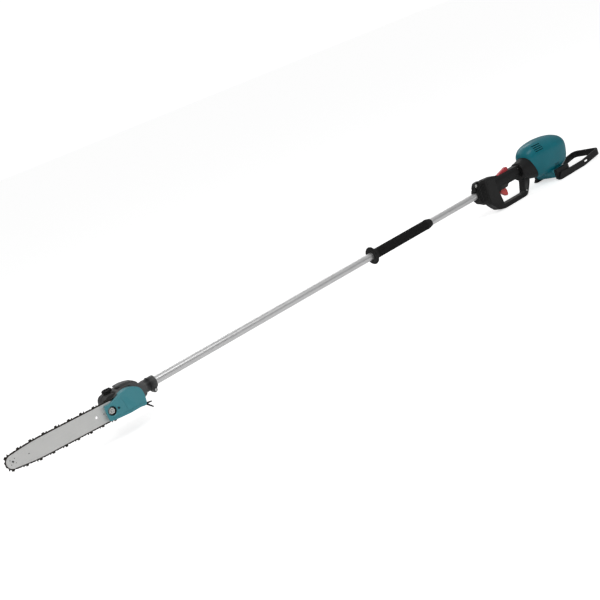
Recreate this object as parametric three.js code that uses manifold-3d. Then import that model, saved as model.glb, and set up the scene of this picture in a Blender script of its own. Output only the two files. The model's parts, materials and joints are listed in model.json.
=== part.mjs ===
// Pole saw: a chain saw head on a one-piece aluminium tube, driven by a motor behind a D-shaped handle.
// Millimetres, +Z up. The tube lies along X with the saw head at the low-X end. While it is being built,
// x = 0 is the axis of the drive sprocket and z = 0 is the axis of the tube. At the end the whole object
// is moved so that its origin is the middle of its base.
import * as THREE from 'three';
import { mergeVertices } from 'three/addons/utils/BufferGeometryUtils.js';
import { ParametricGeometry } from 'three/addons/geometries/ParametricGeometry.js';
import Module from 'manifold-3d';

const wasm = await Module();
wasm.setup();

// ---- Driving dimensions -----------------------------------------------------------------------

const GAP = 0.3;                 // clearance between pieces that touch
const WALL = 2.8;                // moulded plastic wall

// Tube and drive shaft
const TUBE_RADIUS = 12.5;
const TUBE_WALL = 1.5;
const TUBE_FRONT = 60;           // the tube starts this far behind the drive sprocket's axis
const TUBE_LENGTH = 1730;
const SHAFT_RADIUS = 4;
const BUSH_LENGTH = 30;
const BUSH_COUNT = 4;

// Guide bar and chain
const BAR_LENGTH = 389;          // drive sprocket axis to the outside of the chain at the nose
const BAR_HALF_HEIGHT = 25.6;
const BAR_NOSE_RADIUS = 18.5;
const BAR_NOSE_TAPER = 95;       // length over which the bar widens behind its nose
const BAR_THICKNESS = 3.8;
const BAR_SIDE = 36;             // the bar's middle plane lies this far to the left of the tube's axis
const BAR_TILT = THREE.MathUtils.degToRad(2.3);
const BAR_DROP = 3.3;            // the bar's centre line lies this far below the sprocket's axis
const BAR_TAIL = 36;             // gap from the sprocket's axis to the end of the bar
const GROOVE_WIDTH = 1.7;
const GROOVE_DEPTH = 5;
const LINK_HEIGHT = 4.6;
const LINK_WIDTH = 4;
const CUTTER_HEIGHT = 7.6;
const CUTTER_LENGTH = 13;
const CHAIN_PITCH = 19.05;       // two rivet spacings: one drive link and one pair of side links
const TANG_WIDTH = 1.1;
const TANG_DEPTH = 3.6;
const SPROCKET_TEETH = 6;
const SPROCKET_RADIUS = 17.8;
const NOSE_TEETH = 7;
const STUD_DISTANCE = 66;        // drive sprocket axis to the bar stud
const STUD_RADIUS = 4;
const NUT_RADIUS = 9.6;
const TENSION_TRAVEL = 4;

// Bevel gears
const GEAR_MODULE = 1.5;
const PINION_TEETH = 12;
const GEAR_TEETH = 20;
const GEAR_FACE = 6;
const SPROCKET_SHAFT_RADIUS = 5;
const GEAR_ROOM = 19.5;          // radius of the hollow that the bevel gear turns in

// Saw head castings and mouldings
const NECK_RADIUS = TUBE_RADIUS + 7;
const NECK_END = 104;
const CLAMP_BOLT = [94, 0, -(NECK_RADIUS + 3.5)];
const PLATE_NEAR = 32.5;         // the bar plate's face, measured to the left
const PLATE_FAR = 20;
const COVER_FACE = 53;           // the sprocket cover's outer face, measured to the left
const CASE_RIGHT = 30;
const TANK_TOP = 33.5;
const TANK_FRONT = -66;
const TANK_RIGHT = 33;
const CASE_FRONT = -25;          // front of the gear case's body, where the oil tank begins
const CAP_RADIUS = 15;
const CAP_X = -35;
const CAP_Y = 12;

// Front grip
const GRIP_LENGTH = 292;
const GRIP_RADIUS = TUBE_RADIUS + 4.7;
const GRIP_FLANGE_RADIUS = TUBE_RADIUS + 18.5;
const GRIP_TO_HANDLE = 296;      // gap between the front grip and the handle

// D-shaped handle, measured from the tube's rear end
const HANDLE_FRONT = -205;
const HANDLE_BOTTOM = -94;
const HANDLE_HALF_WIDTH = 14;
const BEAM_HALF_WIDTH = TUBE_RADIUS + 4;
const BEAM_TOP = 28;
const BEAM_BOTTOM = -15;
const BOOT_HALF_WIDTH = TUBE_RADIUS + 4.5;
const PIN_HALF_LENGTH = 11;

// Motor housing and guard, measured from the tube's rear end
const HOUSING_HALF_WIDTH = 57;
const FOOT_BOTTOM = -85;
const FOOT_HALF_WIDTH = 44;
const STATOR_RADIUS = 38;
const ROTOR_RADIUS = 20.3;
const MOTOR_SHAFT_RADIUS = 5;
const GUARD_START = 218;
const GUARD_BEND = 288;          // behind this the guard rises towards its rear bar
const GUARD_END = 400;
const GUARD_RISE = 12.5;
const GUARD_CORNER = 24;
const GUARD_HALF_WIDTH = 64;
const GUARD_THICKNESS = 9;
const GUARD_TOP = -69.5;
const GUARD_BOTTOM = HANDLE_BOTTOM;

const tubeEnd = TUBE_FRONT + TUBE_LENGTH;

// ---- Solid helpers ----------------------------------------------------------------------------

const X = new THREE.Vector3(1, 0, 0);
const Y = new THREE.Vector3(0, 1, 0);
const Z = new THREE.Vector3(0, 0, 1);

function signedVolume(position, triangles) {
  const [a, b, c] = [new THREE.Vector3(), new THREE.Vector3(), new THREE.Vector3()];
  let total = 0;
  for (let i = 0; i < triangles.length; i += 3) {
    a.fromBufferAttribute(position, triangles[i]);
    b.fromBufferAttribute(position, triangles[i + 1]);
    c.fromBufferAttribute(position, triangles[i + 2]);
    total += a.dot(b.cross(c)) / 6;
  }
  return total;
}

// A three.js geometry as a closed solid: corners shared, flat triangles dropped, faces pointing out.
function solid(geometry) {
  const plain = geometry.index ? geometry.toNonIndexed() : geometry.clone();
  plain.deleteAttribute('normal');
  plain.deleteAttribute('uv');
  const merged = mergeVertices(plain, 1e-4);
  const corner = merged.index.array;
  const triangles = [];
  for (let i = 0; i < corner.length; i += 3) {
    const [a, b, c] = [corner[i], corner[i + 1], corner[i + 2]];
    if (a !== b && b !== c && c !== a) {
      triangles.push(a, b, c);
    }
  }
  if (signedVolume(merged.attributes.position, triangles) < 0) {
    triangles.reverse();
  }
  const vertProperties = new Float32Array(merged.attributes.position.array);
  return new wasm.Manifold(new wasm.Mesh({
    numProp: 3,
    vertProperties,
    triVerts: Uint32Array.from(triangles),
  }));
}

const join = (...parts) => parts.reduce((whole, part) => whole.add(part));
const cut = (whole, ...tools) => tools.reduce((rest, tool) => rest.subtract(tool), whole);

function block(x0, x1, y0, y1, z0, z1) {
  const box = new THREE.BoxGeometry(x1 - x0, y1 - y0, z1 - z0);
  return solid(box.translate((x0 + x1) / 2, (y0 + y1) / 2, (z0 + z1) / 2));
}

// Turns a geometry that was made along +Y so that it lies along another axis.
function alongAxis(geometry, axis) {
  return geometry.applyQuaternion(new THREE.Quaternion().setFromUnitVectors(Y, axis));
}

function rod(axis, radius, from, to, [x, y, z] = [0, 0, 0], sides = 16) {
  const cylinder = new THREE.CylinderGeometry(radius, radius, to - from, sides);
  cylinder.translate(0, (from + to) / 2, 0);
  return solid(alongAxis(cylinder, axis).translate(x, y, z));
}

const ring = (axis, outer, inner, from, to, centre, sides = 16) => cut(
  rod(axis, outer, from, to, centre, sides),
  rod(axis, inner, from - 1, to + 1, centre, sides),
);

// A closed profile of [radius, distance along the axis] points, turned about the axis.
function turned(axis, profile, [x, y, z] = [0, 0, 0], sides = 20) {
  const points = profile.map(([radius, along]) => new THREE.Vector2(radius, along));
  return solid(alongAxis(new THREE.LatheGeometry(points, sides), axis).translate(x, y, z));
}

// A closed outline whose corners are rounded by up to the given radius.
function outline(points, radius = 0) {
  const corners = points.map(([x, y]) => new THREE.Vector2(x, y));
  const shape = new THREE.Shape();
  corners.forEach((corner, i) => {
    const before = corners[(i + corners.length - 1) % corners.length];
    const after = corners[(i + 1) % corners.length];
    const back = Math.min(radius, corner.distanceTo(before) / 2.05);
    const ahead = Math.min(radius, corner.distanceTo(after) / 2.05);
    const start = corner.clone().add(before.clone().sub(corner).setLength(back));
    const end = corner.clone().add(after.clone().sub(corner).setLength(ahead));
    if (i === 0) {
      shape.moveTo(start.x, start.y);
    } else {
      shape.lineTo(start.x, start.y);
    }
    if (radius > 0) {
      shape.quadraticCurveTo(corner.x, corner.y, end.x, end.y);
    }
  });
  shape.closePath();
  return shape;
}

function extruded(shape, depth, bevel, curveSegments) {
  return new THREE.ExtrudeGeometry(shape, {
    depth: depth - 2 * bevel,
    bevelEnabled: bevel > 0,
    bevelThickness: bevel,
    bevelSize: bevel,
    bevelOffset: -bevel,
    bevelSegments: 1,
    curveSegments,
  }).translate(0, 0, bevel);
}

// An outline drawn in X and Z, given a thickness from y0 to y1.
const sideways = (shape, y0, y1, bevel = 0, curve = 3) => (
  solid(extruded(shape, y1 - y0, bevel, curve).rotateX(Math.PI / 2).translate(0, y1, 0)));

// An outline drawn in X and Y, given a height from z0 to z1.
const upright = (shape, z0, z1, bevel = 0, curve = 3) => (
  solid(extruded(shape, z1 - z0, bevel, curve).translate(0, 0, z0)));

// A body of oval sections along X. Each section has a place, a lean (its shift in x for each unit of z),
// a middle height, half its height and half its width.
function lofted(sections, { inset = 0, power = 2.7, sides = 24 } = {}) {
  const count = sections.length;
  const bulge = (value) => Math.sign(value) * Math.abs(value) ** (2 / power);
  const surface = (u, v, target) => {
    const step = Math.round(v * (count + 1)) - 1;
    const place = Math.min(Math.max(step, 0), count - 1);
    const [x, lean, middle, tall, wide] = sections[place];
    const inward = place === 0 ? inset : place === count - 1 ? -inset : 0;
    const open = step === place ? 1 : 0;
    const angle = 2 * Math.PI * u;
    const z = middle + open * (tall - inset) * bulge(Math.sin(angle));
    target.set(x + inward + lean * z, open * (wide - inset) * bulge(Math.cos(angle)), z);
  };
  return solid(new ParametricGeometry(surface, sides, count + 1));
}

// A wire along a list of points.
function wire(points, radius, steps, sides = 6) {
  const path = new THREE.CatmullRomCurve3(points.map((p) => new THREE.Vector3(...p)));
  const section = new THREE.Shape(Array.from({ length: sides }, (_, i) => new THREE.Vector2(
    radius * Math.cos((2 * Math.PI * i) / sides),
    radius * Math.sin((2 * Math.PI * i) / sides),
  )));
  return solid(new THREE.ExtrudeGeometry(section, { steps, extrudePath: path, bevelEnabled: false }));
}

// A coil of round wire whose axis is parallel to Y.
function coil([x, y, z], radius, thickness, turns, width) {
  const count = turns * 7;
  const points = Array.from({ length: count + 1 }, (_, i) => {
    const angle = (2 * Math.PI * i) / 7;
    return [x + radius * Math.cos(angle), y + (width * i) / count, z + radius * Math.sin(angle)];
  });
  return wire(points, thickness / 2, count, 5);
}

const saw = new THREE.Group();
const head = new THREE.Group();
const barGroup = new THREE.Group();
const pole = new THREE.Group();
const handle = new THREE.Group();
const motor = new THREE.Group();
saw.add(head, pole, handle, motor);
head.add(barGroup);
barGroup.position.set(-BAR_DROP * Math.sin(BAR_TILT), -BAR_SIDE, -BAR_DROP * Math.cos(BAR_TILT));
barGroup.rotation.y = BAR_TILT;
handle.position.x = tubeEnd;
motor.position.x = tubeEnd;

const finishes = {
  teal: [0x00808f, 0.42, 0],
  black: [0x26272a, 0.6, 0],
  rubber: [0x1a1b1c, 0.85, 0],
  red: [0xc8323c, 0.45, 0],
  aluminium: [0xd0d2d4, 0.3, 1],
  steel: [0xb4b6b8, 0.35, 1],
  barSteel: [0xd8d8d6, 0.3, 0.9],
  chain: [0x3a3632, 0.5, 0.9],
  darkSteel: [0x55575a, 0.45, 1],
  board: [0x0c4c38, 0.5, 0],
  copper: [0xa05a32, 0.5, 0.8],
  window: [0x9aa49a, 0.2, 0],
};

function add(group, name, shape, finish) {
  const { vertProperties, triVerts } = shape.getMesh();
  const geometry = new THREE.BufferGeometry();
  geometry.setAttribute('position', new THREE.BufferAttribute(new Float32Array(vertProperties), 3));
  geometry.setIndex(new THREE.BufferAttribute(new Uint32Array(triVerts), 1));
  geometry.computeVertexNormals();
  const [color, roughness, metalness] = finishes[finish];
  const material = new THREE.MeshStandardMaterial({ color, roughness, metalness });
  const mesh = new THREE.Mesh(geometry, material);
  mesh.name = name;
  group.add(mesh);
}

// ---- Guide bar, chain and sprockets (in the bar's own plane) ------------------------------------

const noseCentre = -(BAR_LENGTH - BAR_NOSE_RADIUS - CUTTER_HEIGHT - GAP);
const chainInner = SPROCKET_RADIUS + 0.6;

// Half the bar's height at a distance along it, grown by an offset.
function barHalfHeight(x, offset) {
  const share = Math.min((x - noseCentre) / BAR_NOSE_TAPER, 1);
  const rise = BAR_HALF_HEIGHT - BAR_NOSE_RADIUS;
  return BAR_NOSE_RADIUS + rise * Math.sin((Math.PI / 2) * share) + offset;
}

function noseArc(radius, steps) {
  return Array.from({ length: steps + 1 }, (_, i) => {
    const angle = Math.PI / 2 + (Math.PI * i) / steps;
    return [noseCentre + radius * Math.cos(angle), radius * Math.sin(angle)];
  });
}

// The upper edge of the bar, from its tail towards the nose.
function upperEdge(from, to, offset, steps) {
  return Array.from({ length: steps + 1 }, (_, i) => {
    const x = from + ((to - from) * i) / steps;
    return [x, barHalfHeight(x, offset)];
  });
}

const mirrored = (points) => points.map(([x, z]) => [x, -z]).reverse();

function barOutline(offset, noseEnd = true) {
  const tail = -BAR_TAIL - (noseEnd ? 0 : GROOVE_DEPTH);
  const slope = [[tail + offset, BAR_HALF_HEIGHT / 2], [tail - 22, BAR_HALF_HEIGHT + offset]];
  const taperStart = noseCentre + BAR_NOSE_TAPER;
  const top = [...slope, ...upperEdge(taperStart, noseCentre + (noseEnd ? 4 : 20), offset, 8)];
  const nose = noseEnd ? noseArc(BAR_NOSE_RADIUS + offset, 8) : [];
  return outline([...top, ...nose, ...mirrored(top)]);
}

function guideBar() {
  const half = BAR_THICKNESS / 2;
  const plate = sideways(barOutline(0), -half, half);
  const slotEnds = [-STUD_DISTANCE + 0.5, -STUD_DISTANCE - TENSION_TRAVEL - 0.5];
  const slotRadius = STUD_RADIUS + GAP;
  const slot = [
    ...slotEnds.map((x) => rod(Y, slotRadius, -half - 1, half + 1, [x, 0, 0])),
    block(slotEnds[1], slotEnds[0], -half - 1, half + 1, -slotRadius, slotRadius),
  ];
  const holes = [[-110, 3.8], [-86, 2.6]].map(([x, radius]) => rod(Y, radius, -half - 1, half + 1, [x, 0, 0], 12));
  const rivetHole = rod(Y, 3 + GAP, -half - 1, half + 1, [noseCentre, 0, 0], 16);
  const grooveCut = cut(
    sideways(barOutline(1), -GROOVE_WIDTH / 2, GROOVE_WIDTH / 2),
    sideways(barOutline(-GROOVE_DEPTH, false), -GROOVE_WIDTH, GROOVE_WIDTH),
  );
  return cut(plate, grooveCut, ...slot, ...holes, rivetHole);
}

// The closed line that the chain's underside follows, clockwise from the sprocket's top.
function chainLine(offset) {
  const wrap = Array.from({ length: 13 }, (_, i) => {
    const angle = Math.PI / 2 - (Math.PI * i) / 12;
    const radius = chainInner + offset;
    return [radius * Math.cos(angle), BAR_DROP + radius * Math.sin(angle)];
  });
  const run = upperEdge(noseCentre + 4, noseCentre + BAR_NOSE_TAPER, GAP + offset, 8);
  const top = [...run, [-BAR_TAIL - 22, BAR_HALF_HEIGHT + GAP + offset]];
  const nose = noseArc(BAR_NOSE_RADIUS + GAP + offset, 8);
  return [...wrap, ...mirrored(top), ...nose.reverse(), ...top];
}

function alongLine(points, distance) {
  let left = distance;
  for (let i = 0; i < points.length; i += 1) {
    const a = new THREE.Vector2(...points[i]);
    const b = new THREE.Vector2(...points[(i + 1) % points.length]);
    const length = a.distanceTo(b);
    if (left <= length) {
      const place = a.clone().lerp(b, left / length);
      return { place, heading: b.sub(a).normalize() };
    }
    left -= length;
  }
  return alongLine(points, 0);
}

function lineLength(points) {
  return points.reduce((sum, [x, z], i) => {
    const [nextX, nextZ] = points[(i + 1) % points.length];
    return sum + Math.hypot(nextX - x, nextZ - z);
  }, 0);
}

// A small prism standing on the chain line: its profile is [along, outwards].
function onChain({ place, heading }, profile, halfWidth) {
  const out = new THREE.Vector2(-heading.y, heading.x);
  const shape = outline(profile.map(([along, outwards]) => {
    const point = place.clone().addScaledVector(heading, along).addScaledVector(out, outwards);
    return [point.x, point.y];
  }));
  return sideways(shape, -halfWidth, halfWidth);
}

function sawChain() {
  const line = chainLine(0);
  const count = 2 * Math.round(lineLength(line) / CHAIN_PITCH / 2);
  const step = lineLength(line) / count;
  const links = [cut(
    sideways(outline(chainLine(LINK_HEIGHT)), -LINK_WIDTH / 2, LINK_WIDTH / 2),
    sideways(outline(line), -LINK_WIDTH, LINK_WIDTH),
  )];
  const base = LINK_HEIGHT - 1;
  const cutter = [[-CUTTER_LENGTH / 2, base], [CUTTER_LENGTH / 2, base],
    [CUTTER_LENGTH / 2 - 1, CUTTER_HEIGHT - 0.6], [3, base + 0.6], [0, base + 0.6],
    [-0.5, CUTTER_HEIGHT], [-CUTTER_LENGTH / 2, CUTTER_HEIGHT - 0.8]];
  const tang = [[-3.4, 0.6], [-2, -TANG_DEPTH], [1.4, -TANG_DEPTH], [3.4, 0.6]];
  for (let i = 0; i < count; i += 1) {
    const cutterSpot = alongLine(line, (i + 0.5) * step);
    if (i % 2 === 0) {
      links.push(onChain(cutterSpot, cutter, LINK_WIDTH / 2 + 0.4));
    }
    const tangSpot = alongLine(line, i * step);
    const { x } = tangSpot.place;
    if (x < -BAR_TAIL - 30 && x > noseCentre + BAR_NOSE_RADIUS + 8) {
      links.push(onChain(tangSpot, tang, TANG_WIDTH / 2));
    }
  }
  return join(...links);
}

function toothedDisc(teeth, tip, root, share) {
  const points = [];
  for (let i = 0; i < teeth; i += 1) {
    const middle = (2 * Math.PI * i) / teeth;
    const half = (Math.PI / teeth) * share;
    [[-1.5 * half, root], [-half, tip], [half, tip], [1.5 * half, root]].forEach(([turn, radius]) => {
      points.push([radius * Math.cos(middle + turn), radius * Math.sin(middle + turn)]);
    });
  }
  return outline(points);
}

add(barGroup, 'guide_bar', guideBar(), 'barSteel');
add(barGroup, 'saw_chain', sawChain(), 'chain');
add(barGroup, 'nose_sprocket', cut(
  sideways(toothedDisc(NOSE_TEETH, BAR_NOSE_RADIUS - 0.3, BAR_NOSE_RADIUS - 5.5, 0.4), -0.55, 0.55),
  rod(Y, 3 + GAP, -2, 2),
).translate(noseCentre, 0, 0), 'steel');
add(barGroup, 'nose_rivet', rod(Y, 3, -BAR_THICKNESS / 2 - 0.2, BAR_THICKNESS / 2 + 0.2,
  [noseCentre, 0, 0], 16), 'darkSteel');

// ---- Drive sprocket, its shaft and the bevel gears ----------------------------------------------

const pinionPitch = (GEAR_MODULE * PINION_TEETH) / 2;
const gearPitch = (GEAR_MODULE * GEAR_TEETH) / 2;

// A bevel gear along +Y whose cone comes to a point at the origin. Its large end is the plane
// y = distance, where its pitch circle has the given radius.
function bevelGear(teeth, pitch, distance, turn) {
  const cone = Math.atan2(pitch, distance);
  const slant = Math.hypot(pitch, distance);
  const tip = distance * Math.tan(cone + Math.atan((0.75 * GEAR_MODULE) / slant));
  const root = distance * Math.tan(cone - Math.atan((1.15 * GEAR_MODULE) / slant));
  const points = [];
  for (let i = 0; i < teeth; i += 1) {
    const middle = (2 * Math.PI * i) / teeth + turn;
    const half = Math.PI / teeth;
    [[-0.66, root], [-0.2, tip], [0.2, tip], [0.66, root]].forEach(([share, radius]) => {
      points.push([radius * Math.cos(middle + share * half), radius * Math.sin(middle + share * half)]);
    });
  }
  const shape = outline(points);
  const depth = (GEAR_FACE * distance) / slant;
  const geometry = new THREE.ExtrudeGeometry(shape, { depth, bevelEnabled: false });
  const position = geometry.attributes.position;
  for (let i = 0; i < position.count; i += 1) {
    const scale = 1 - position.getZ(i) / distance;
    position.setXY(i, position.getX(i) * scale, position.getY(i) * scale);
  }
  return geometry.rotateX(Math.PI / 2).translate(0, distance, 0);
}

const gearTeeth = solid(bevelGear(GEAR_TEETH, gearPitch, pinionPitch, 0));
const gearBack = rod(Y, gearPitch - 2.5, pinionPitch - 0.5, pinionPitch + 7);
add(head, 'bevel_gear', cut(join(gearTeeth, gearBack),
  rod(Y, SPROCKET_SHAFT_RADIUS + GAP, 0, 30)), 'steel');

const pinionTurn = Math.PI / PINION_TEETH;
const pinionTeeth = solid(bevelGear(PINION_TEETH, pinionPitch, gearPitch, pinionTurn)
  .applyMatrix4(new THREE.Matrix4().makeBasis(Y, X, Z.clone().negate())));
const pinionBack = rod(X, pinionPitch - 2, gearPitch - 0.5, gearPitch + 6);
add(head, 'bevel_pinion', cut(join(pinionTeeth, pinionBack),
  rod(X, SHAFT_RADIUS + GAP, 0, 40)), 'steel');

const shaftLeft = -BAR_SIDE - 9;
const shaftRight = pinionPitch + 12;
add(head, 'sprocket_shaft', rod(Y, SPROCKET_SHAFT_RADIUS, shaftLeft, shaftRight), 'steel');
add(head, 'drive_sprocket', cut(
  join(
    sideways(toothedDisc(SPROCKET_TEETH, SPROCKET_RADIUS, 13, 0.42), -BAR_SIDE - 3, -BAR_SIDE + 3),
    rod(Y, 11, -BAR_SIDE - 6, -BAR_SIDE - 2.5),
  ),
  rod(Y, SPROCKET_SHAFT_RADIUS + GAP, -60, 0),
), 'darkSteel');
add(head, 'sprocket_bearing_left', ring(Y, 9.5, SPROCKET_SHAFT_RADIUS + GAP, -31, -23), 'steel');
add(head, 'sprocket_bearing_right', ring(Y, 8.5, SPROCKET_SHAFT_RADIUS + GAP,
  pinionPitch + 8, pinionPitch + 13), 'steel');
const pinionBearing = [gearPitch + 8, gearPitch + 16];
add(head, 'pinion_bearing', ring(X, 11, SHAFT_RADIUS + GAP, ...pinionBearing), 'steel');

// ---- Gear case, tank and sprocket cover ---------------------------------------------------------

// A place on the bar's centre line, in the object's frame.
const onBar = (x) => [
  x * Math.cos(BAR_TILT) - BAR_DROP * Math.sin(BAR_TILT),
  0,
  -x * Math.sin(BAR_TILT) - BAR_DROP * Math.cos(BAR_TILT),
];
const studPlace = onBar(-STUD_DISTANCE);
const screwPlace = onBar(-45.9);

const coverFront = -85;
const coverPoints = [[coverFront, 20.5], [-66, 20.5], [-49, 23.5], [-36, 28], [-24, 33], [-10, 36], [4, 35],
  [22, 29], [32, 22], [37, 11], [39, -4], [36, -28], [31, -35], [16, -31.5], [-19, -31.5], [-57, -28],
  [coverFront, -24]];

const shrunk = (points, amount) => points.map(([x, z]) => [
  x - Math.sign(x + 25) * amount,
  z - Math.sign(z) * amount,
]);

// The room that the running chain needs, as a solid in the object's frame.
function chainRoom(clearance, left, right) {
  const shape = outline(chainLine(CUTTER_HEIGHT + clearance));
  const room = extruded(shape, left - right, 0, 4).rotateX(Math.PI / 2);
  const [x, , z] = onBar(0);
  return solid(room.rotateY(BAR_TILT).translate(x, -right, z));
}

function gearCase() {
  const plate = sideways(outline(shrunk(coverPoints, 1.5), 5), -PLATE_NEAR, -PLATE_FAR);
  const pad = rod(Y, 11, -BAR_SIDE + BAR_THICKNESS / 2 + GAP, -PLATE_FAR - 1, studPlace);
  const bodySide = outline([[CASE_FRONT, 30], [-12, 36], [24, 35], [40, 31], [52, 20], [62, 16], [62, -18],
    [44, -24], [30, -28], [CASE_FRONT, -28]], 8);
  const body = sideways(bodySide, -PLATE_FAR - 1, CASE_RIGHT);
  const ridge = sideways(outline([[-13, 41], [-10, 43.5], [8, 43.5], [25, 40.5], [40, 36], [50, 26.5], [52, 18],
    [0, 26], [0, 37], [-9, 38.5]], 2), -9, 20);
  const neck = turned(X, [[0, 50], [NECK_RADIUS - 2.5, 50], [NECK_RADIUS, 70], [NECK_RADIUS, NECK_END - 2],
    [NECK_RADIUS - 2, NECK_END], [0, NECK_END]]);
  const lugBottom = CLAMP_BOLT[2] - 7;
  const lug = sideways(outline([[82, -10], [86, lugBottom + 3], [91, lugBottom], [98, lugBottom + 1],
    [103, -10]], 4), -8, 8);
  const shell = join(plate, pad, body, ridge, neck, lug);
  const tubeBore = rod(X, TUBE_RADIUS + GAP, TUBE_FRONT - GAP, NECK_END + 5, [0, 0, 0], 20);
  const shaftBore = rod(X, 11 + GAP, 0, TUBE_FRONT + 1);
  const gearRoom = rod(Y, GEAR_ROOM, -4, CASE_RIGHT + 5);
  const shaftHole = rod(Y, 7, -40, 5);
  const bearingSeat = rod(Y, 9.5 + GAP, -40, -22);
  const clampSlit = block(80, NECK_END + 5, -1.2, 1.2, -40, -5);
  const boltHole = rod(Y, 2.8, -20, 20, CLAMP_BOLT, 16);
  const studHole = rod(Y, STUD_RADIUS + GAP, -60, -22, studPlace);
  const screwHole = rod(Y, 3 + GAP, -60, -24, screwPlace, 16);
  const pumpRoom = block(10 - GAP, 30 + GAP, -40, -24, -26 - GAP, -14 + GAP);
  return cut(shell, tubeBore, shaftBore, gearRoom, shaftHole, bearingSeat, clampSlit, boltHole,
    studHole, screwHole, pumpRoom);
}

add(head, 'gear_case', gearCase(), 'black');
add(head, 'gear_case_lid', cut(
  join(rod(Y, GEAR_ROOM - GAP, CASE_RIGHT - 9, CASE_RIGHT + 1),
    rod(Y, GEAR_ROOM + 4, CASE_RIGHT + GAP, CASE_RIGHT + 4)),
  rod(Y, 8.5 + GAP, 0, CASE_RIGHT - 3),
), 'black');
add(head, 'oil_pump', cut(block(10, 30, -PLATE_NEAR + 0.5, -24 - GAP, -26, -14),
  rod(Y, 2, -40, -28, [20, 0, -20], 12)), 'darkSteel');
add(head, 'neck_clamp_bolt', join(rod(Y, 2.4, -9, 9, CLAMP_BOLT, 16),
  rod(Y, 4.6, -12.5, -8 - GAP, CLAMP_BOLT, 12)), 'steel');
add(head, 'bar_stud', rod(Y, STUD_RADIUS, -50, -23, studPlace), 'steel');
add(head, 'bar_nut', cut(
  join(rod(Y, NUT_RADIUS, -49, -COVER_FACE + 12.3, studPlace, 6),
    rod(Y, NUT_RADIUS + 1.6, -COVER_FACE + 10.5, -COVER_FACE + 12.3, studPlace)),
  rod(Y, STUD_RADIUS + GAP, -60, -20, studPlace),
), 'steel');
add(head, 'tension_screw', cut(rod(Y, 3, -31.5, -25, screwPlace, 12),
  block(-60, -30, -40, -30.3, screwPlace[2] - 0.5, screwPlace[2] + 0.5)), 'steel');

function sprocketCover() {
  const near = -COVER_FACE;
  const skin = sideways(outline(coverPoints, 7), near, -PLATE_NEAR - GAP);
  const room = sideways(outline(shrunk(coverPoints, WALL), 5), near + WALL, 0);
  const cup = join(rod(Y, 15.5, near + 1, near + 15, studPlace), rod(Y, 12, near + 1,
    -BAR_SIDE - BAR_THICKNESS / 2 - GAP, studPlace));
  const cupRoom = rod(Y, 13, near - 5, near + 12.6, studPlace);
  const throat = rod(Y, STUD_RADIUS + GAP, near - 5, 0, studPlace);
  const keyHole = rod(Y, 3.4, near - 5, -PLATE_NEAR, screwPlace, 16);
  const mouth = block(coverFront - 5, coverFront + WALL + 1, near + WALL, 0, -40, 40);
  const shell = cut(join(cut(skin, room), cup), cupRoom, throat, keyHole, mouth);
  return cut(shell, chainRoom(1.4, BAR_SIDE + 4.5, BAR_SIDE - 4.5));
}
add(head, 'sprocket_cover', sprocketCover(), 'teal');

const hookPoints = [[22, -28.6], [32, -28.6], [46, -37], [65, -41], [65.5, -44], [51, -43], [64, -58],
  [61.5, -60.5], [43, -43], [22, -34]];
add(head, 'branch_hook', sideways(outline(hookPoints, 1.5), -PLATE_FAR + GAP, -PLATE_FAR + 4.3), 'black');

function oilTank() {
  const back = CASE_FRONT - GAP;
  const side = outline([[TANK_FRONT, -20], [TANK_FRONT + 3, -25], [back, -25], [back, TANK_TOP],
    [-52, TANK_TOP], [-62, 26], [TANK_FRONT, 14]], 8);
  const shell = sideways(side, -PLATE_FAR + GAP, TANK_RIGHT);
  const spout = rod(Z, 9.4, TANK_TOP - 4, TANK_TOP + 3, [CAP_X, CAP_Y, 0]);
  const room = sideways(outline([[-62, -21], [back - 3, -21], [back - 3, TANK_TOP - 3], [-50, TANK_TOP - 3],
    [-61, 20]], 5), -16, TANK_RIGHT - 3);
  const filler = rod(Z, 8, TANK_TOP - 8, TANK_TOP + 9, [CAP_X, CAP_Y, 0]);
  const windowSlot = block(-64.3, -51.7, -30, -17.4, 5.7, 20.3);
  return cut(join(shell, spout), room, filler, windowSlot);
}
add(head, 'oil_tank', oilTank(), 'black');
add(head, 'oil_window', block(-64, -52, -19.4, -17.7, 6, 20), 'window');
add(head, 'oil_cap', join(
  turned(Z, [[0, TANK_TOP - 4], [7.6, TANK_TOP - 4], [7.6, TANK_TOP + 3 + GAP], [CAP_RADIUS, TANK_TOP + 3 + GAP],
    [CAP_RADIUS, TANK_TOP + 9], [CAP_RADIUS - 2, TANK_TOP + 11], [0, TANK_TOP + 11]], [CAP_X, CAP_Y, 0], 28),
  block(CAP_X - 11, CAP_X + 11, CAP_Y - 2, CAP_Y + 2, TANK_TOP + 10, TANK_TOP + 13),
), 'black');

// ---- Tube, drive shaft, bushes and front grip ---------------------------------------------------

const shaftFront = gearPitch - 4;
const shaftRear = tubeEnd + 8;
add(pole, 'pole_tube', ring(X, TUBE_RADIUS, TUBE_RADIUS - TUBE_WALL, TUBE_FRONT, tubeEnd, [0, 0, 0], 20),
  'aluminium');
add(pole, 'drive_shaft', rod(X, SHAFT_RADIUS, shaftFront, shaftRear, [0, 0, 0], 16), 'steel');
for (let i = 0; i < BUSH_COUNT; i += 1) {
  const middle = TUBE_FRONT + (TUBE_LENGTH * (i + 0.5)) / BUSH_COUNT;
  add(pole, `shaft_bush_${i + 1}`, ring(X, TUBE_RADIUS - TUBE_WALL - GAP, SHAFT_RADIUS + GAP,
    middle - BUSH_LENGTH / 2, middle + BUSH_LENGTH / 2, [0, 0, 0], 12), 'black');
}

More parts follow.
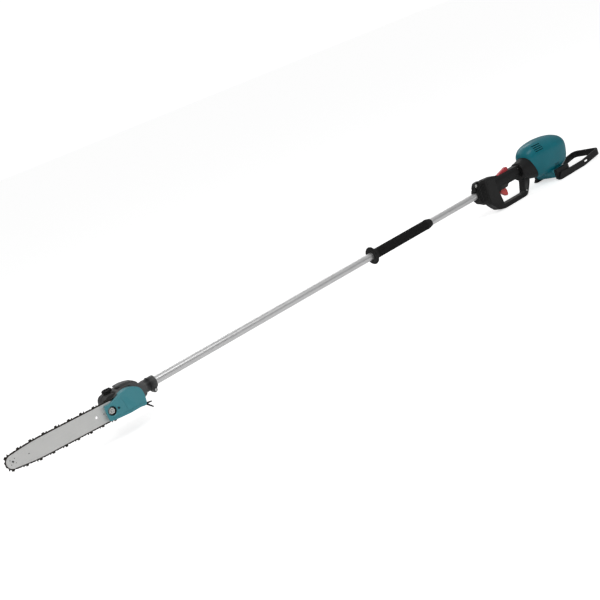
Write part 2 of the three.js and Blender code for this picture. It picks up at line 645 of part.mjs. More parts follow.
const gripRear = tubeEnd + HANDLE_FRONT - GRIP_TO_HANDLE;
const gripFront = gripRear - GRIP_LENGTH;
const gripBore = TUBE_RADIUS + GAP;
add(pole, 'front_grip', turned(X, [
  [gripBore, gripFront],
  [GRIP_FLANGE_RADIUS - 3, gripFront],
  [GRIP_FLANGE_RADIUS - 0.6, gripFront + 1.2],
  [GRIP_FLANGE_RADIUS, gripFront + 3.2],
  [GRIP_FLANGE_RADIUS - 0.9, gripFront + 5],
  [GRIP_FLANGE_RADIUS - 4, gripFront + 6],
  [GRIP_RADIUS + 5, gripFront + 7],
  [GRIP_RADIUS + 1.6, gripFront + 10],
  [GRIP_RADIUS, gripFront + 18],
  [GRIP_RADIUS, gripRear - 24],
  [GRIP_RADIUS + 0.8, gripRear - 20],
  [GRIP_RADIUS - 2.2, gripRear - 2],
  [gripBore + 1, gripRear],
  [gripBore, gripRear],
  [gripBore, gripFront],
]), 'rubber');

// ---- D-shaped handle (its group starts at the tube's rear end) ----------------------------------

const bellSections = [
  [-12, 0, 0, 31, 29],
  [-8, 0, 0, 34, 32],
  [8, -0.05, -1, 37, 34],
  [46.6, -0.39, -5, 47, 37.6],
];
const motorBell = lofted(bellSections, { power: 2.4, sides: 24 });
const bellRoom = lofted(bellSections.map(([x, lean, middle, tall, wide], i) => (
  [i === 0 ? x - GAP : x, lean, middle, tall + GAP, wide + GAP])), { power: 2.4, sides: 24 });

const triggerPin = [-112, 0, -19];
const leverPin = [-111, 0, 21];

function handleBody() {
  const side = outline([[HANDLE_FRONT, 43], [-148, 38], [-126, BEAM_TOP], [-6, BEAM_TOP], [10, -8], [29, -40],
    [15, -63], [-6, -91], [-22, HANDLE_BOTTOM], [-138, HANDLE_BOTTOM], [-172, -87], [HANDLE_FRONT, -54]], 8);
  const fingerGap = outline([[-139, -77], [-18, -78], [-3, -36], [-14, BEAM_BOTTOM - 1], [-88, BEAM_BOTTOM - 0.5],
    [-95, -25], [-146, -25], [-141, -57]], 5);
  const frame = cut(sideways(side, -HANDLE_HALF_WIDTH, HANDLE_HALF_WIDTH, 4), sideways(fingerGap, -40, 40));
  const middle = (BEAM_TOP + BEAM_BOTTOM) / 2;
  const tall = (BEAM_TOP - BEAM_BOTTOM) / 2;
  const beam = lofted([
    [-152, 0, middle + 3, tall - 3, BEAM_HALF_WIDTH - 4],
    [-136, 0, middle, tall, BEAM_HALF_WIDTH],
    [-12.5, 0, middle, tall, BEAM_HALF_WIDTH],
  ], { power: 2.4, sides: 24 });
  const tubeRoom = rod(X, TUBE_RADIUS + GAP, HANDLE_FRONT - 5, GAP, [0, 0, 0], 20);
  const triggerRoom = sideways(outline([[-135, -40], [-135, -26], [-119, -14], [-104, -14], [-92, -26],
    [-92, -40]]), -6.4, 6.4);
  const leverRoom = sideways(outline([[-120, 13.2], [-120, 60], [-57, 60], [-57, 13.2]]), -6.4, 6.4);
  const switchRoom = join(block(-172, -147.5, -11, 11, -44, -14), block(-149, -130, -5, 5, -24.5, -17));
  const pinEnd = PIN_HALF_LENGTH + GAP;
  const pinRooms = [triggerPin, leverPin].map((pin) => rod(Y, 2 + GAP, -pinEnd, pinEnd, pin, 12));
  const coilRooms = [triggerPin, leverPin].map((pin) => rod(Y, 5.1, 6, pinEnd, pin, 12));
  const screwRooms = handleScrews.map(([x, z]) => join(rod(Y, 1.8 + GAP, -40, 10, [x, 0, z], 12),
    rod(Y, 3.4 + GAP, -40, -HANDLE_HALF_WIDTH + 2.2, [x, 0, z], 12)));
  return cut(join(frame, beam), bellRoom, tubeRoom, triggerRoom, leverRoom, switchRoom,
    ...pinRooms, ...coilRooms, ...screwRooms);
}

const handleScrews = [[-5, -75], [-17.5, TUBE_RADIUS + 3.5]];
const handleWhole = handleBody();
const half = GAP / 2;
add(handle, 'handle_left', handleWhole.intersect(block(-300, 100, -60, -half, -150, 100)), 'black');
add(handle, 'handle_right', handleWhole.intersect(block(-300, 100, half, 60, -150, 100)), 'black');
handleScrews.forEach(([x, z], i) => {
  add(handle, `handle_screw_${i + 1}`, join(rod(Y, 1.8, -HANDLE_HALF_WIDTH + 1.5, 9.7, [x, 0, z], 12),
    rod(Y, 3.4, -HANDLE_HALF_WIDTH - 0.2, -HANDLE_HALF_WIDTH + 2, [x, 0, z], 12)), 'steel');
});

const bootBack = HANDLE_FRONT - GAP;
const bootSide = outline([[bootBack, 44.5], [bootBack - 24, 43], [bootBack - 43, 24], [bootBack - 50, 10],
  [bootBack - 52, -14], [bootBack - 41, -33], [bootBack - 24, -40], [bootBack, -54]], 9);
add(handle, 'front_boot', cut(sideways(bootSide, -BOOT_HALF_WIDTH, BOOT_HALF_WIDTH),
  rod(X, TUBE_RADIUS + GAP, -300, -150, [0, 0, 0], 20),
  block(-262, bootBack - 22, -10.2, 10.2, TUBE_RADIUS + 0.5, 60)), 'rubber');
const eye = [-242, 0, 33];
const hangerSide = outline([[-229, 47], [-244, 45], [-255, 31], [-256, TUBE_RADIUS + 2.5],
  [-228, TUBE_RADIUS + 1.5]], 4);
add(handle, 'hanger_bracket', cut(sideways(hangerSide, -9, 9, 2), rod(Y, 6 + GAP, -20, 20, eye)), 'black');
add(handle, 'hanger_eyelet', ring(Y, 6, 4.4, -9.6, 9.6, eye), 'steel');

const triggerSide = outline([[-119, -23], [-131, -30], [-129, -36], [-120, -46], [-105, -57], [-97, -54],
  [-96, -36], [-105, -23], [-107, -15.5], [-116, -15.5]], 3);
const triggerBlade = sideways(triggerSide, -6, 6, 1.5);
add(handle, 'trigger', cut(triggerBlade, rod(Y, 2 + GAP, -20, 20, triggerPin, 12)), 'red');
add(handle, 'trigger_pin', rod(Y, 2, -PIN_HALF_LENGTH, PIN_HALF_LENGTH, triggerPin, 16), 'steel');
add(handle, 'trigger_spring', coil([triggerPin[0], 7, triggerPin[2]], 4, 1, 3, 3), 'steel');

const leverSide = outline([[-118, 17], [-118.5, 28], [-112, 32], [-68, 43], [-60, 40], [-61, 24], [-104, 16.5]], 3);
add(handle, 'lock_lever', cut(sideways(leverSide, -6, 6, 1.5), rod(Y, 2 + GAP, -20, 20, leverPin, 12)), 'red');
add(handle, 'lever_pin', rod(Y, 2, -PIN_HALF_LENGTH, PIN_HALF_LENGTH, leverPin, 16), 'steel');
add(handle, 'lever_spring', coil([leverPin[0], 7, leverPin[2]], 4, 1, 3, 3), 'steel');
add(handle, 'main_switch', join(block(-171, -148, -10, 10, -42, -16), block(-148.5, -138, -4, 4, -23, -18.5)), 'black');

// ---- Motor, housing and guard (the group starts at the tube's rear end) -------------------------

const bellBore = [rod(X, TUBE_RADIUS + GAP, -20, GAP, [0, 0, 0], 20), rod(X, 15, 2, 60)];
add(motor, 'motor_bell', cut(motorBell, ...bellBore, rod(X, SHAFT_RADIUS + 4, -5, 5)), 'black');
add(motor, 'shaft_coupling', ring(X, 11, MOTOR_SHAFT_RADIUS + GAP, 4, 27), 'darkSteel');
add(motor, 'motor_bearing_front', ring(X, 15 - GAP, MOTOR_SHAFT_RADIUS + GAP, 29, 37), 'steel');

const housingSections = [
  [47, -0.39, -5, 47.4, HOUSING_HALF_WIDTH - 19],
  [58, -0.36, 2, 57, HOUSING_HALF_WIDTH - 13],
  [80, -0.27, 8, 66, HOUSING_HALF_WIDTH - 7],
  [112, -0.13, 10, 71, HOUSING_HALF_WIDTH - 2],
  [148, 0, 8, 73, HOUSING_HALF_WIDTH],
  [184, 0.15, 5, 69, HOUSING_HALF_WIDTH],
  [214, 0.25, 0, 61, HOUSING_HALF_WIDTH - 4],
  [230, 0.3, -3, 52, HOUSING_HALF_WIDTH - 9],
];
const bayHalfWidth = 33;
const bayFloor = -40;
const bayTop = 40;
const plateBack = 208;

function housingBody() {
  const skin = lofted(housingSections);
  const room = lofted(housingSections, { inset: WALL });
  const footSide = outline([[122, -50], [132, FOOT_BOTTOM + 8], [140, FOOT_BOTTOM], [186, FOOT_BOTTOM],
    [190, -50]], 8);
  const foot = sideways(footSide, -FOOT_HALF_WIDTH, FOOT_HALF_WIDTH);
  const footRoom = block(143, 181, 5 - FOOT_HALF_WIDTH, FOOT_HALF_WIDTH - 5, FOOT_BOTTOM + WALL, -55);
  const frontHole = rod(X, 26, 0, 75);
  const bay = block(plateBack + GAP, 300, -bayHalfWidth, bayHalfWidth, bayFloor, bayTop);
  const slots = [];
  for (let row = 0; row < 4; row += 1) {
    const height = 45 + 7 * row;
    slots.push(block(66, 106, -100, 100, height, height + 3.2));
  }
  for (let row = 0; row < 3; row += 1) {
    const height = -42 + 5 * row;
    slots.push(block(141, 167, -100, 100, height, height + 2.4));
  }
  return cut(join(skin, foot), room, footRoom, frontHole, bay, ...slots);
}
const housingWhole = housingBody();
add(motor, 'housing_left', housingWhole.intersect(block(0, 400, -80, -half, -150, 120)), 'teal');
add(motor, 'housing_right', housingWhole.intersect(block(0, 400, half, 80, -150, 120)), 'teal');

add(motor, 'motor_stator', cut(
  rod(X, STATOR_RADIUS, 88, 134, [0, 0, 0], 20),
  rod(X, ROTOR_RADIUS + 1, 80, 128, [0, 0, 0], 20),
  rod(X, 13 + GAP, 80, 140),
), 'copper');
add(motor, 'motor_bearing_rear', ring(X, 13, MOTOR_SHAFT_RADIUS + GAP, 128.6, 134), 'steel');
add(motor, 'motor_rotor', join(rod(X, ROTOR_RADIUS, 90, 125), rod(X, MOTOR_SHAFT_RADIUS, 10, 138)), 'darkSteel');

function coolingFan() {
  const hub = ring(X, 12, MOTOR_SHAFT_RADIUS + GAP, 64, 82);
  const disc = ring(X, 34, 11, 79.5, 82, [0, 0, 0], 20);
  const blades = [];
  for (let i = 0; i < 11; i += 1) {
    const blade = new THREE.BoxGeometry(15, 2, 23).translate(72.2, 0, 22);
    blades.push(solid(blade.rotateX((2 * Math.PI * i) / 11)));
  }
  return join(hub, disc, ...blades);
}
add(motor, 'cooling_fan', coolingFan(), 'black');
add(motor, 'control_board', block(142, 146, -36, 36, -50, 50), 'board');
add(motor, 'battery_plate', join(
  block(plateBack - 5, plateBack, -bayHalfWidth + GAP, bayHalfWidth - GAP, bayFloor + GAP, bayTop - GAP),
  ...[-1, 1].map((side) => join(
    block(plateBack - 1, plateBack + 9, side * 28 - 2.5, side * 28 + 2.5, bayFloor + 2, bayTop - 8),
    block(plateBack + 6, plateBack + 9, side * 26 - 4.5, side * 26 + 4.5, bayFloor + 2, bayTop - 8),
  )),
), 'black');
add(motor, 'terminal_block', join(
  block(plateBack + GAP, plateBack + 14, -15, 15, -10, 22),
  ...[-8, 8].map((y) => block(plateBack + 2, plateBack + 12, y - 1, y + 1, -26, -9)),
), 'black');

// ---- Rear guard: a flat rectangular loop round the battery's place -----------------------------

// The loop seen from above, as a block with rounded rear corners.
function guardPlan(inset, extra) {
  const side = GUARD_HALF_WIDTH - inset;
  const corners = [[GUARD_START - 60, side], [GUARD_END - inset, side], [GUARD_END - inset, -side],
    [GUARD_START - 60, -side]];
  return upright(outline(corners, GUARD_CORNER - inset), GUARD_BOTTOM - extra, GUARD_TOP + GUARD_RISE + extra, 0, 5);
}
const guardSide = sideways(outline([[GUARD_START, GUARD_BOTTOM], [GUARD_BEND, GUARD_BOTTOM],
  [GUARD_END + 1, GUARD_BOTTOM + GUARD_RISE], [GUARD_END + 1, GUARD_TOP + GUARD_RISE], [GUARD_BEND, GUARD_TOP],
  [GUARD_START, GUARD_TOP]]), -GUARD_HALF_WIDTH - 1, GUARD_HALF_WIDTH + 1);
const guardSlot = block(GUARD_BEND + 6, GUARD_BEND + 30, -100, 100, -83, -76);
add(motor, 'rear_guard', cut(guardPlan(0, 0), guardPlan(GUARD_THICKNESS, 5), guardSlot).intersect(guardSide), 'black');

[['left', -1], ['right', 1]].forEach(([name, side]) => {
  const between = (a, b) => [side * a, side * b].sort((p, q) => p - q);
  const armEnd = GUARD_START - GAP;
  const armSide = outline([[148, GUARD_TOP + 2], [127, GUARD_BOTTOM + 3], [140, GUARD_BOTTOM],
    [armEnd, GUARD_BOTTOM], [armEnd, GUARD_TOP]], 4);
  const shoeSide = outline([[132, GUARD_BOTTOM + 4], [205, GUARD_BOTTOM + 4], [205, GUARD_TOP + 18],
    [132, GUARD_TOP + 18]], 4);
  const arm = sideways(armSide, ...between(GUARD_HALF_WIDTH - GUARD_THICKNESS, GUARD_HALF_WIDTH), 1.5);
  const shoe = sideways(shoeSide, ...between(FOOT_HALF_WIDTH + GAP, GUARD_HALF_WIDTH - 6));
  const room = lofted(housingSections.map(([x, lean, middle, tall, wide]) => (
    [x, lean, middle, tall + GAP, wide + GAP])));
  add(motor, `guard_arm_${name}`, cut(join(arm, shoe), room), 'black');
});

// ---- Origin at the middle of the base -----------------------------------------------------------

saw.updateMatrixWorld(true);
const bounds = new THREE.Box3().setFromObject(saw, true);
const centre = bounds.getCenter(new THREE.Vector3());
saw.position.set(-centre.x, -centre.y, -bounds.min.z);

export default saw;
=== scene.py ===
# %% [markdown]
# # A pole saw, dressed on its CAD frame
# The saw's pieces already exist as plain solids that know how they move. Here each one gets the rounded
# edges, ribs, screws and finishes of the real tool. New pieces ride on the solids' bodies, so every joint
# still works.

# %% Load the frame
import json
import math
import bpy
import bmesh
from mathutils import Matrix, Vector


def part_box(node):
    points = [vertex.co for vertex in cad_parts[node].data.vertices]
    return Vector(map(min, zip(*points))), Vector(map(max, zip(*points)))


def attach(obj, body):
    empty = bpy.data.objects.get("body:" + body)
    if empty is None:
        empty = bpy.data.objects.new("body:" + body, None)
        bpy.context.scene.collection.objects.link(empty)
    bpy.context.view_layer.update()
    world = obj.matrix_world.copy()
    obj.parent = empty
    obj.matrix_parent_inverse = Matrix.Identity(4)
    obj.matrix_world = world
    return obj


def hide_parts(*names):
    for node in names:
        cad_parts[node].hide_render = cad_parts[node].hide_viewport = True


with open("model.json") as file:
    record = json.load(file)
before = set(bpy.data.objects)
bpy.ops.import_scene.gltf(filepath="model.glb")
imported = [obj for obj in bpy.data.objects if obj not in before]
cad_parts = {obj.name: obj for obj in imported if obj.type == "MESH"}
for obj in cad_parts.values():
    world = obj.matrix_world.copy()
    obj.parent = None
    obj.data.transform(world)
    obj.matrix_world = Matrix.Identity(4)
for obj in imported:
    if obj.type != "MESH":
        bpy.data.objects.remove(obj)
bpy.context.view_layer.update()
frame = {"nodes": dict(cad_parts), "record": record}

# %% [markdown]
# Three places are handy to measure from, all in millimetres: the drive sprocket's axis for the saw head,
# the rear end of the tube for the handle and motor, and the tilted plane of the guide bar. They are read
# from the frame's own tube, so the looks follow the solids.

# %% Places to measure from
MM = 0.001
TUBE_STARTS = 60
BAR_SIDE = 36
BAR_DROP = 3.3
BAR_TILT = math.radians(2.3)
tube_low, tube_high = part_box("pole_tube")
axis_height = (tube_low.z + tube_high.z) / 2
head_origin = Vector((tube_low.x - TUBE_STARTS * MM, 0, axis_height))
rear_origin = Vector((tube_high.x, 0, axis_height))


def at_head(x, y, z):
    return head_origin + Vector((x, y, z)) * MM


def at_rear(x, y, z):
    return rear_origin + Vector((x, y, z)) * MM


def at_bar(x, y, z):
    lowered = z - BAR_DROP
    tilted_x = x * math.cos(BAR_TILT) + lowered * math.sin(BAR_TILT)
    tilted_z = lowered * math.cos(BAR_TILT) - x * math.sin(BAR_TILT)
    return at_head(tilted_x, y - BAR_SIDE, tilted_z)


print("sprocket axis", head_origin, "tube's rear end", rear_origin)

# %% [markdown]
# The camera stands to the left of the saw and looks along it, rolled so that the tube climbs across the
# frame. A long lens keeps the far motor close in size to the near bar. The camera comes first, because
# everything after it is judged from there.

# %% Camera
CAMERA_BACK = (-1.060, -2.594, 0.734)
camera_data = bpy.data.cameras.new("camera")
camera_data.lens = 60
camera_data.clip_end = 100
camera = bpy.data.objects.new("camera", camera_data)
bpy.context.collection.objects.link(camera)
right = Vector((0.737, -0.575, -0.355)).normalized()
behind = Vector((-0.526, -0.818, 0.234)).normalized()
right = (right - behind * right.dot(behind)).normalized()
above = behind.cross(right)
camera.matrix_world = Matrix((
    (right.x, above.x, behind.x, tube_low.x + CAMERA_BACK[0]),
    (right.y, above.y, behind.y, CAMERA_BACK[1]),
    (right.z, above.z, behind.z, axis_height + CAMERA_BACK[2]),
    (0, 0, 0, 1),
))
bpy.context.scene.camera = camera
print("camera at", camera.location)

# %% [markdown]
# A product like this is shot on a white sweep. The floor is a large pale plane. The world is white where
# the camera sees it, and a little darker near the horizon for reflections, so that bare metal gets soft
# dark edges and doesn't look like paper.

# %% Floor, world and lights
bpy.context.scene.view_settings.view_transform = "Standard"


def mesh_object(name, verts, faces):
    mesh = bpy.data.meshes.new(name)
    mesh.from_pydata(verts, [], faces)
    obj = bpy.data.objects.new(name, mesh)
    bpy.context.collection.objects.link(obj)
    return obj


FLOOR_REACH = 40
floor = mesh_object("floor", [(-FLOOR_REACH, -FLOOR_REACH, 0), (FLOOR_REACH, -FLOOR_REACH, 0),
                              (FLOOR_REACH, FLOOR_REACH, 0), (-FLOOR_REACH, FLOOR_REACH, 0)],
                              [(0, 1, 2, 3)])
floor_paint = bpy.data.materials.new("pale_floor")
floor_paint.use_nodes = True
floor_shader = floor_paint.node_tree.nodes["Principled BSDF"]
floor_shader.inputs["Base Color"].default_value = (0.93, 0.93, 0.93, 1)
floor_shader.inputs["Roughness"].default_value = 0.9
floor_shader.inputs["Specular IOR Level"].default_value = 0.1
floor_shader.inputs["Emission Color"].default_value = (1, 1, 1, 1)
FLOOR_GLOW = 0.62
glow = floor_paint.node_tree.nodes.new("ShaderNodeMath")
glow.operation = "MULTIPLY"
glow.inputs[1].default_value = FLOOR_GLOW
floor_ray = floor_paint.node_tree.nodes.new("ShaderNodeLightPath")
floor_paint.node_tree.links.new(floor_ray.outputs["Is Camera Ray"], glow.inputs[0])
floor_paint.node_tree.links.new(glow.outputs[0], floor_shader.inputs["Emission Strength"])
floor.data.materials.append(floor_paint)

world = bpy.data.worlds.new("studio")
bpy.context.scene.world = world
world.use_nodes = True
sky = world.node_tree
sky.nodes.clear()
out = sky.nodes.new("ShaderNodeOutputWorld")
seen = sky.nodes.new("ShaderNodeBackground")
seen.inputs["Color"].default_value = (1, 1, 1, 1)
seen.inputs["Strength"].default_value = 1.05
lit = sky.nodes.new("ShaderNodeBackground")
lit.inputs["Strength"].default_value = 0.42
place = sky.nodes.new("ShaderNodeTexCoord")
split = sky.nodes.new("ShaderNodeSeparateXYZ")
shades = sky.nodes.new("ShaderNodeValToRGB")
shades.color_ramp.elements[0].position = 0.02
shades.color_ramp.elements[0].color = (0.32, 0.32, 0.33, 1)
shades.color_ramp.elements[1].position = 0.55
shades.color_ramp.elements[1].color = (1, 1, 1, 1)
mix = sky.nodes.new("ShaderNodeMixShader")
ray = sky.nodes.new("ShaderNodeLightPath")
sky.links.new(place.outputs["Generated"], split.inputs[0])
sky.links.new(split.outputs["Z"], shades.inputs["Fac"])
sky.links.new(shades.outputs["Color"], lit.inputs["Color"])
sky.links.new(ray.outputs["Is Camera Ray"], mix.inputs["Fac"])
sky.links.new(lit.outputs[0], mix.inputs[1])
sky.links.new(seen.outputs[0], mix.inputs[2])
sky.links.new(mix.outputs[0], out.inputs["Surface"])


def soft_light(name, spot, aim, size, power):
    data = bpy.data.lights.new(name, "AREA")
    data.shape = "RECTANGLE"
    data.size, data.size_y = size
    data.energy = power
    lamp = bpy.data.objects.new(name, data)
    lamp.location = spot
    lamp.rotation_euler = (Vector(aim) - Vector(spot)).to_track_quat("-Z", "Y").to_euler()
    bpy.context.collection.objects.link(lamp)


soft_light("key", (-0.6, -2.2, 3.4), (0, 0, 0.1), (4.2, 1.6), 38)
soft_light("fill", (-3.6, -1.6, 1.6), (-0.6, 0, 0.1), (1.6, 1.6), 2.5)
soft_light("rim", (1.5, 2.6, 2.2), (0.4, 0, 0.1), (4.0, 0.8), 16)
print("floor, world and three soft lights")

# %% [markdown]
# Finishes share three effects, so each is a node group with named inputs. Grain is the fine texture of a
# moulding, as a height and a slow change of shade. The edge mask is strong on sharp edges: it marks
# patchy wear there and paints a highlight on them. Streaks are long fine lines for drawn or ground metal.
# They use the piece's own coordinates, so they move with it.

# %% Shared effects
def new_group(name, inputs, outputs):
    group = bpy.data.node_groups.new(name, "ShaderNodeTree")
    for label, value in inputs:
        group.interface.new_socket(label, in_out="INPUT",
                                   socket_type="NodeSocketFloat").default_value = value
    for label in outputs:
        group.interface.new_socket(label, in_out="OUTPUT", socket_type="NodeSocketFloat")
    return group, group.nodes.new("NodeGroupInput"), group.nodes.new("NodeGroupOutput")


def math_node(tree, operation, first, second):
    node = tree.nodes.new("ShaderNodeMath")
    node.operation = operation
    for socket, value in zip(node.inputs, (first, second)):
        if isinstance(value, (int, float)):
            socket.default_value = value
        else:
            tree.links.new(value, socket)
    return node.outputs[0]


def noise_node(tree, vector, scale, detail=3.0):
    node = tree.nodes.new("ShaderNodeTexNoise")
    node.inputs["Detail"].default_value = detail
    tree.links.new(vector, node.inputs["Vector"])
    if isinstance(scale, (int, float)):
        node.inputs["Scale"].default_value = scale
    else:
        tree.links.new(scale, node.inputs["Scale"])
    return node.outputs["Fac"]


grain, grain_in, grain_out = new_group("Moulding grain", [("Scale", 900), ("Blotch Scale", 18)],
                                       ["Height", "Shade"])
spot_of = grain.nodes.new("ShaderNodeTexCoord").outputs["Object"]
grain.links.new(noise_node(grain, spot_of, grain_in.outputs["Scale"]), grain_out.inputs["Height"])
grain.links.new(noise_node(grain, spot_of, grain_in.outputs["Blotch Scale"]), grain_out.inputs["Shade"])

# Painted highlight and wear: a patchy mask on sharp edges, where a finish gets a lighter colour.
scuff_and_sheen, scuff_and_sheen_in, scuff_and_sheen_out = new_group("Edge scuffs and sheen", [("Sharpness", 14), ("Patch Scale", 120)], ["Mask"])
point = scuff_and_sheen.nodes.new("ShaderNodeNewGeometry").outputs["Pointiness"]
spot_of = scuff_and_sheen.nodes.new("ShaderNodeTexCoord").outputs["Object"]
raised = math_node(scuff_and_sheen, "MULTIPLY", math_node(scuff_and_sheen, "SUBTRACT", point, 0.52), scuff_and_sheen_in.outputs["Sharpness"])
patch = noise_node(scuff_and_sheen, spot_of, scuff_and_sheen_in.outputs["Patch Scale"], 5.0)
scuffed_and_lit = math_node(scuff_and_sheen, "MULTIPLY", raised, patch)
clean = scuff_and_sheen.nodes.new("ShaderNodeClamp")
scuff_and_sheen.links.new(scuffed_and_lit, clean.inputs["Value"])
scuff_and_sheen.links.new(clean.outputs[0], scuff_and_sheen_out.inputs["Mask"])

streaks, streaks_in, streaks_out = new_group("Lengthwise streaks", [("Along", 6), ("Across", 900)],
                                             ["Line"])
spot_of = streaks.nodes.new("ShaderNodeTexCoord").outputs["Object"]
stretch = streaks.nodes.new("ShaderNodeCombineXYZ")
for axis, source in zip("XYZ", ("Along", "Across", "Across")):
    streaks.links.new(streaks_in.outputs[source], stretch.inputs[axis])
pull = streaks.nodes.new("ShaderNodeVectorMath")
pull.operation = "MULTIPLY"
streaks.links.new(spot_of, pull.inputs[0])
streaks.links.new(stretch.outputs[0], pull.inputs[1])
streaks.links.new(noise_node(streaks, pull.outputs[0], 1.0, 4.0), streaks_out.inputs["Line"])
print("three shared effects")

# %% [markdown]
# One recipe makes all the plastics, paints and rubbers: a base colour that drifts slightly, a lighter
# colour on sharp edges that is partly wear and partly a painted highlight, and a grain in the roughness and
# the surface. What differs is how coarse, how shiny and how strongly worn and highlighted each one's edges are.

# %% Finishes for plastic, paint and rubber
def mix_colour(tree, factor, first, second):
    node = tree.nodes.new("ShaderNodeMix")
    node.data_type = "RGBA"
    for socket, value in ((node.inputs[0], factor), (node.inputs[6], first), (node.inputs[7], second)):
        if isinstance(value, bpy.types.NodeSocket):
            tree.links.new(value, socket)
        else:
            socket.default_value = value if isinstance(value, float) else (*value, 1)
    return node.outputs[2]


def new_finish(name):
    paint = bpy.data.materials.new(name)
    paint.use_nodes = True
    return paint, paint.node_tree, paint.node_tree.nodes["Principled BSDF"]


def place_group(tree, group, **values):
    node = tree.nodes.new("ShaderNodeGroup")
    node.node_tree = group
    for label, value in values.items():
        node.inputs[label.replace("_", " ")].default_value = value
    return node


def set_range(tree, source, low, high, target):
    node = tree.nodes.new("ShaderNodeMapRange")
    node.inputs["To Min"].default_value = low
    node.inputs["To Max"].default_value = high
    tree.links.new(source, node.inputs["Value"])
    tree.links.new(node.outputs[0], target)


def set_bump(tree, shader, height, depth, strength):
    bump = tree.nodes.new("ShaderNodeBump")
    bump.inputs["Distance"].default_value = depth
    bump.inputs["Strength"].default_value = strength
    tree.links.new(height, bump.inputs["Height"])
    tree.links.new(bump.outputs[0], shader.inputs["Normal"])


def moulded(name, colour, scuff_and_sheen_colour, rough, grain_size, depth, strength=0.3, coat=0.0):
    paint, tree, shader = new_finish(name)
    texture = place_group(tree, grain, Scale=grain_size)
    edges = place_group(tree, scuff_and_sheen)
    dark = tuple(c * 0.82 for c in colour)
    light = tuple(min(c * 1.15 + 0.002, 1) for c in colour)
    drift = mix_colour(tree, texture.outputs["Shade"], dark, light)
    # Sharp edges take the edge colour: partly wear, partly a painted highlight.
    tree.links.new(mix_colour(tree, edges.outputs["Mask"], drift, scuff_and_sheen_colour), shader.inputs["Base Color"])
    set_range(tree, texture.outputs["Shade"], rough - 0.08, rough + 0.08, shader.inputs["Roughness"])
    set_bump(tree, shader, texture.outputs["Height"], depth * MM, strength)
    shader.inputs["Coat Weight"].default_value = coat
    shader.inputs["Coat Roughness"].default_value = 0.15
    shader.inputs["Specular IOR Level"].default_value = 0.3
    return paint


TEAL = (0.0, 0.205, 0.262)
BLACK = (0.0105, 0.0105, 0.011)
# Each finish's second colour is painted on its sharp edges: wear and a painted highlight.
teal_shell = moulded("teal_shell", TEAL, (0.08, 0.36, 0.42), 0.34, 1400, 0.03, 0.12, 0.3)
black_moulding = moulded("black_moulding", BLACK, (0.07, 0.07, 0.07), 0.46, 1100, 0.05, 0.3)
black_casting = moulded("black_casting", (0.015, 0.015, 0.016), (0.12, 0.12, 0.12), 0.42, 700, 0.12, 0.35,
                        0.25)
soft_rubber = moulded("soft_rubber", (0.010, 0.010, 0.010), (0.03, 0.03, 0.03), 0.68, 600, 0.08, 0.4)
soft_panel = moulded("soft_panel", (0.022, 0.022, 0.022), (0.05, 0.05, 0.05), 0.62, 800, 0.08, 0.4)
red_moulding = moulded("red_moulding", (0.66, 0.035, 0.055), (0.85, 0.25, 0.22), 0.34, 1300, 0.03, 0.15,
                       0.3)
coral_moulding = moulded("coral_moulding", (0.78, 0.09, 0.085), (0.9, 0.35, 0.3), 0.34, 1300, 0.03, 0.15,
                         0.3)
board_lacquer = moulded("board_lacquer", (0.01, 0.09, 0.05), (0.2, 0.2, 0.1), 0.4, 500, 0.05)
print("moulded finishes", len(bpy.data.materials))

# %% [markdown]
# Bare metal is the same idea with streaks. A drawn tube and a ground bar have fine lines along their
# length, and they show as a change of roughness and a very shallow bump. Oil darkens the chain, and the
# copper of the windings has turns instead of streaks.

# %% Finishes for metal, window and windings
def bare_metal(name, dark, light, rough, along=6, across=900, depth=0.02, strength=0.25, metallic=1.0):
    paint, tree, shader = new_finish(name)
    lines = place_group(tree, streaks, Along=along, Across=across)
    blotch = place_group(tree, grain, Scale=300, Blotch_Scale=30)
    tone = mix_colour(tree, lines.outputs["Line"], dark, light)
    tree.links.new(mix_colour(tree, blotch.outputs["Shade"], tone, light), shader.inputs["Base Color"])
    set_range(tree, lines.outputs["Line"], rough - 0.08, rough + 0.12, shader.inputs["Roughness"])
    set_bump(tree, shader, lines.outputs["Line"], depth * MM, strength)
    shader.inputs["Metallic"].default_value = metallic
    return paint


drawn_aluminium = bare_metal("drawn_aluminium", (0.72, 0.72, 0.72), (0.93, 0.93, 0.93), 0.36, 5, 700)
ground_bar = bare_metal("ground_bar", (0.8, 0.8, 0.78), (0.93, 0.93, 0.91), 0.42, 9, 600, 0.02, 0.2, 0.15)
bright_zinc = bare_metal("bright_zinc", (0.55, 0.55, 0.55), (0.82, 0.82, 0.8), 0.25, 200, 200)
oiled_chain = bare_metal("oiled_chain", (0.02, 0.016, 0.013), (0.07, 0.062, 0.055), 0.36, 150, 150, 0.03,
                         0.4)
dark_metal = bare_metal("dark_metal", (0.06, 0.06, 0.06), (0.16, 0.16, 0.16), 0.4, 150, 150)
copper_wire = bare_metal("copper_wire", (0.3, 0.1, 0.04), (0.62, 0.26, 0.12), 0.35, 900, 60, 0.2, 0.6)

smoky_window, tree, shader = new_finish("smoky_window")
speckle = place_group(tree, grain, Scale=500, Blotch_Scale=60)
tree.links.new(mix_colour(tree, speckle.outputs["Shade"], (0.20, 0.22, 0.2), (0.42, 0.44, 0.4)),
               shader.inputs["Base Color"])
shader.inputs["Roughness"].default_value = 0.18
shader.inputs["Coat Weight"].default_value = 0.5
print("metal finishes ready")

# %% [markdown]
# Shapes are lists of corners and faces in millimetres, made by small functions: a rod, a turned profile,
# a slab cut from an outline, and a loft of oval sections. Several can be put together into one piece,
# and others taken away from it before its edges are rounded.

# %% Shapes
AXES = {"x": lambda r, c, s, a: (a, r * c, r * s), "y": lambda r, c, s, a: (r * c, a, r * s),
        "z": lambda r, c, s, a: (r * c, r * s, a)}


def box(x0, x1, y0, y1, z0, z1):
    verts = [(x, y, z) for x in (x0, x1) for y in (y0, y1) for z in (z0, z1)]
    return verts, [(0, 1, 3, 2), (4, 6, 7, 5), (0, 4, 5, 1), (2, 3, 7, 6), (0, 2, 6, 4), (1, 5, 7, 3)]


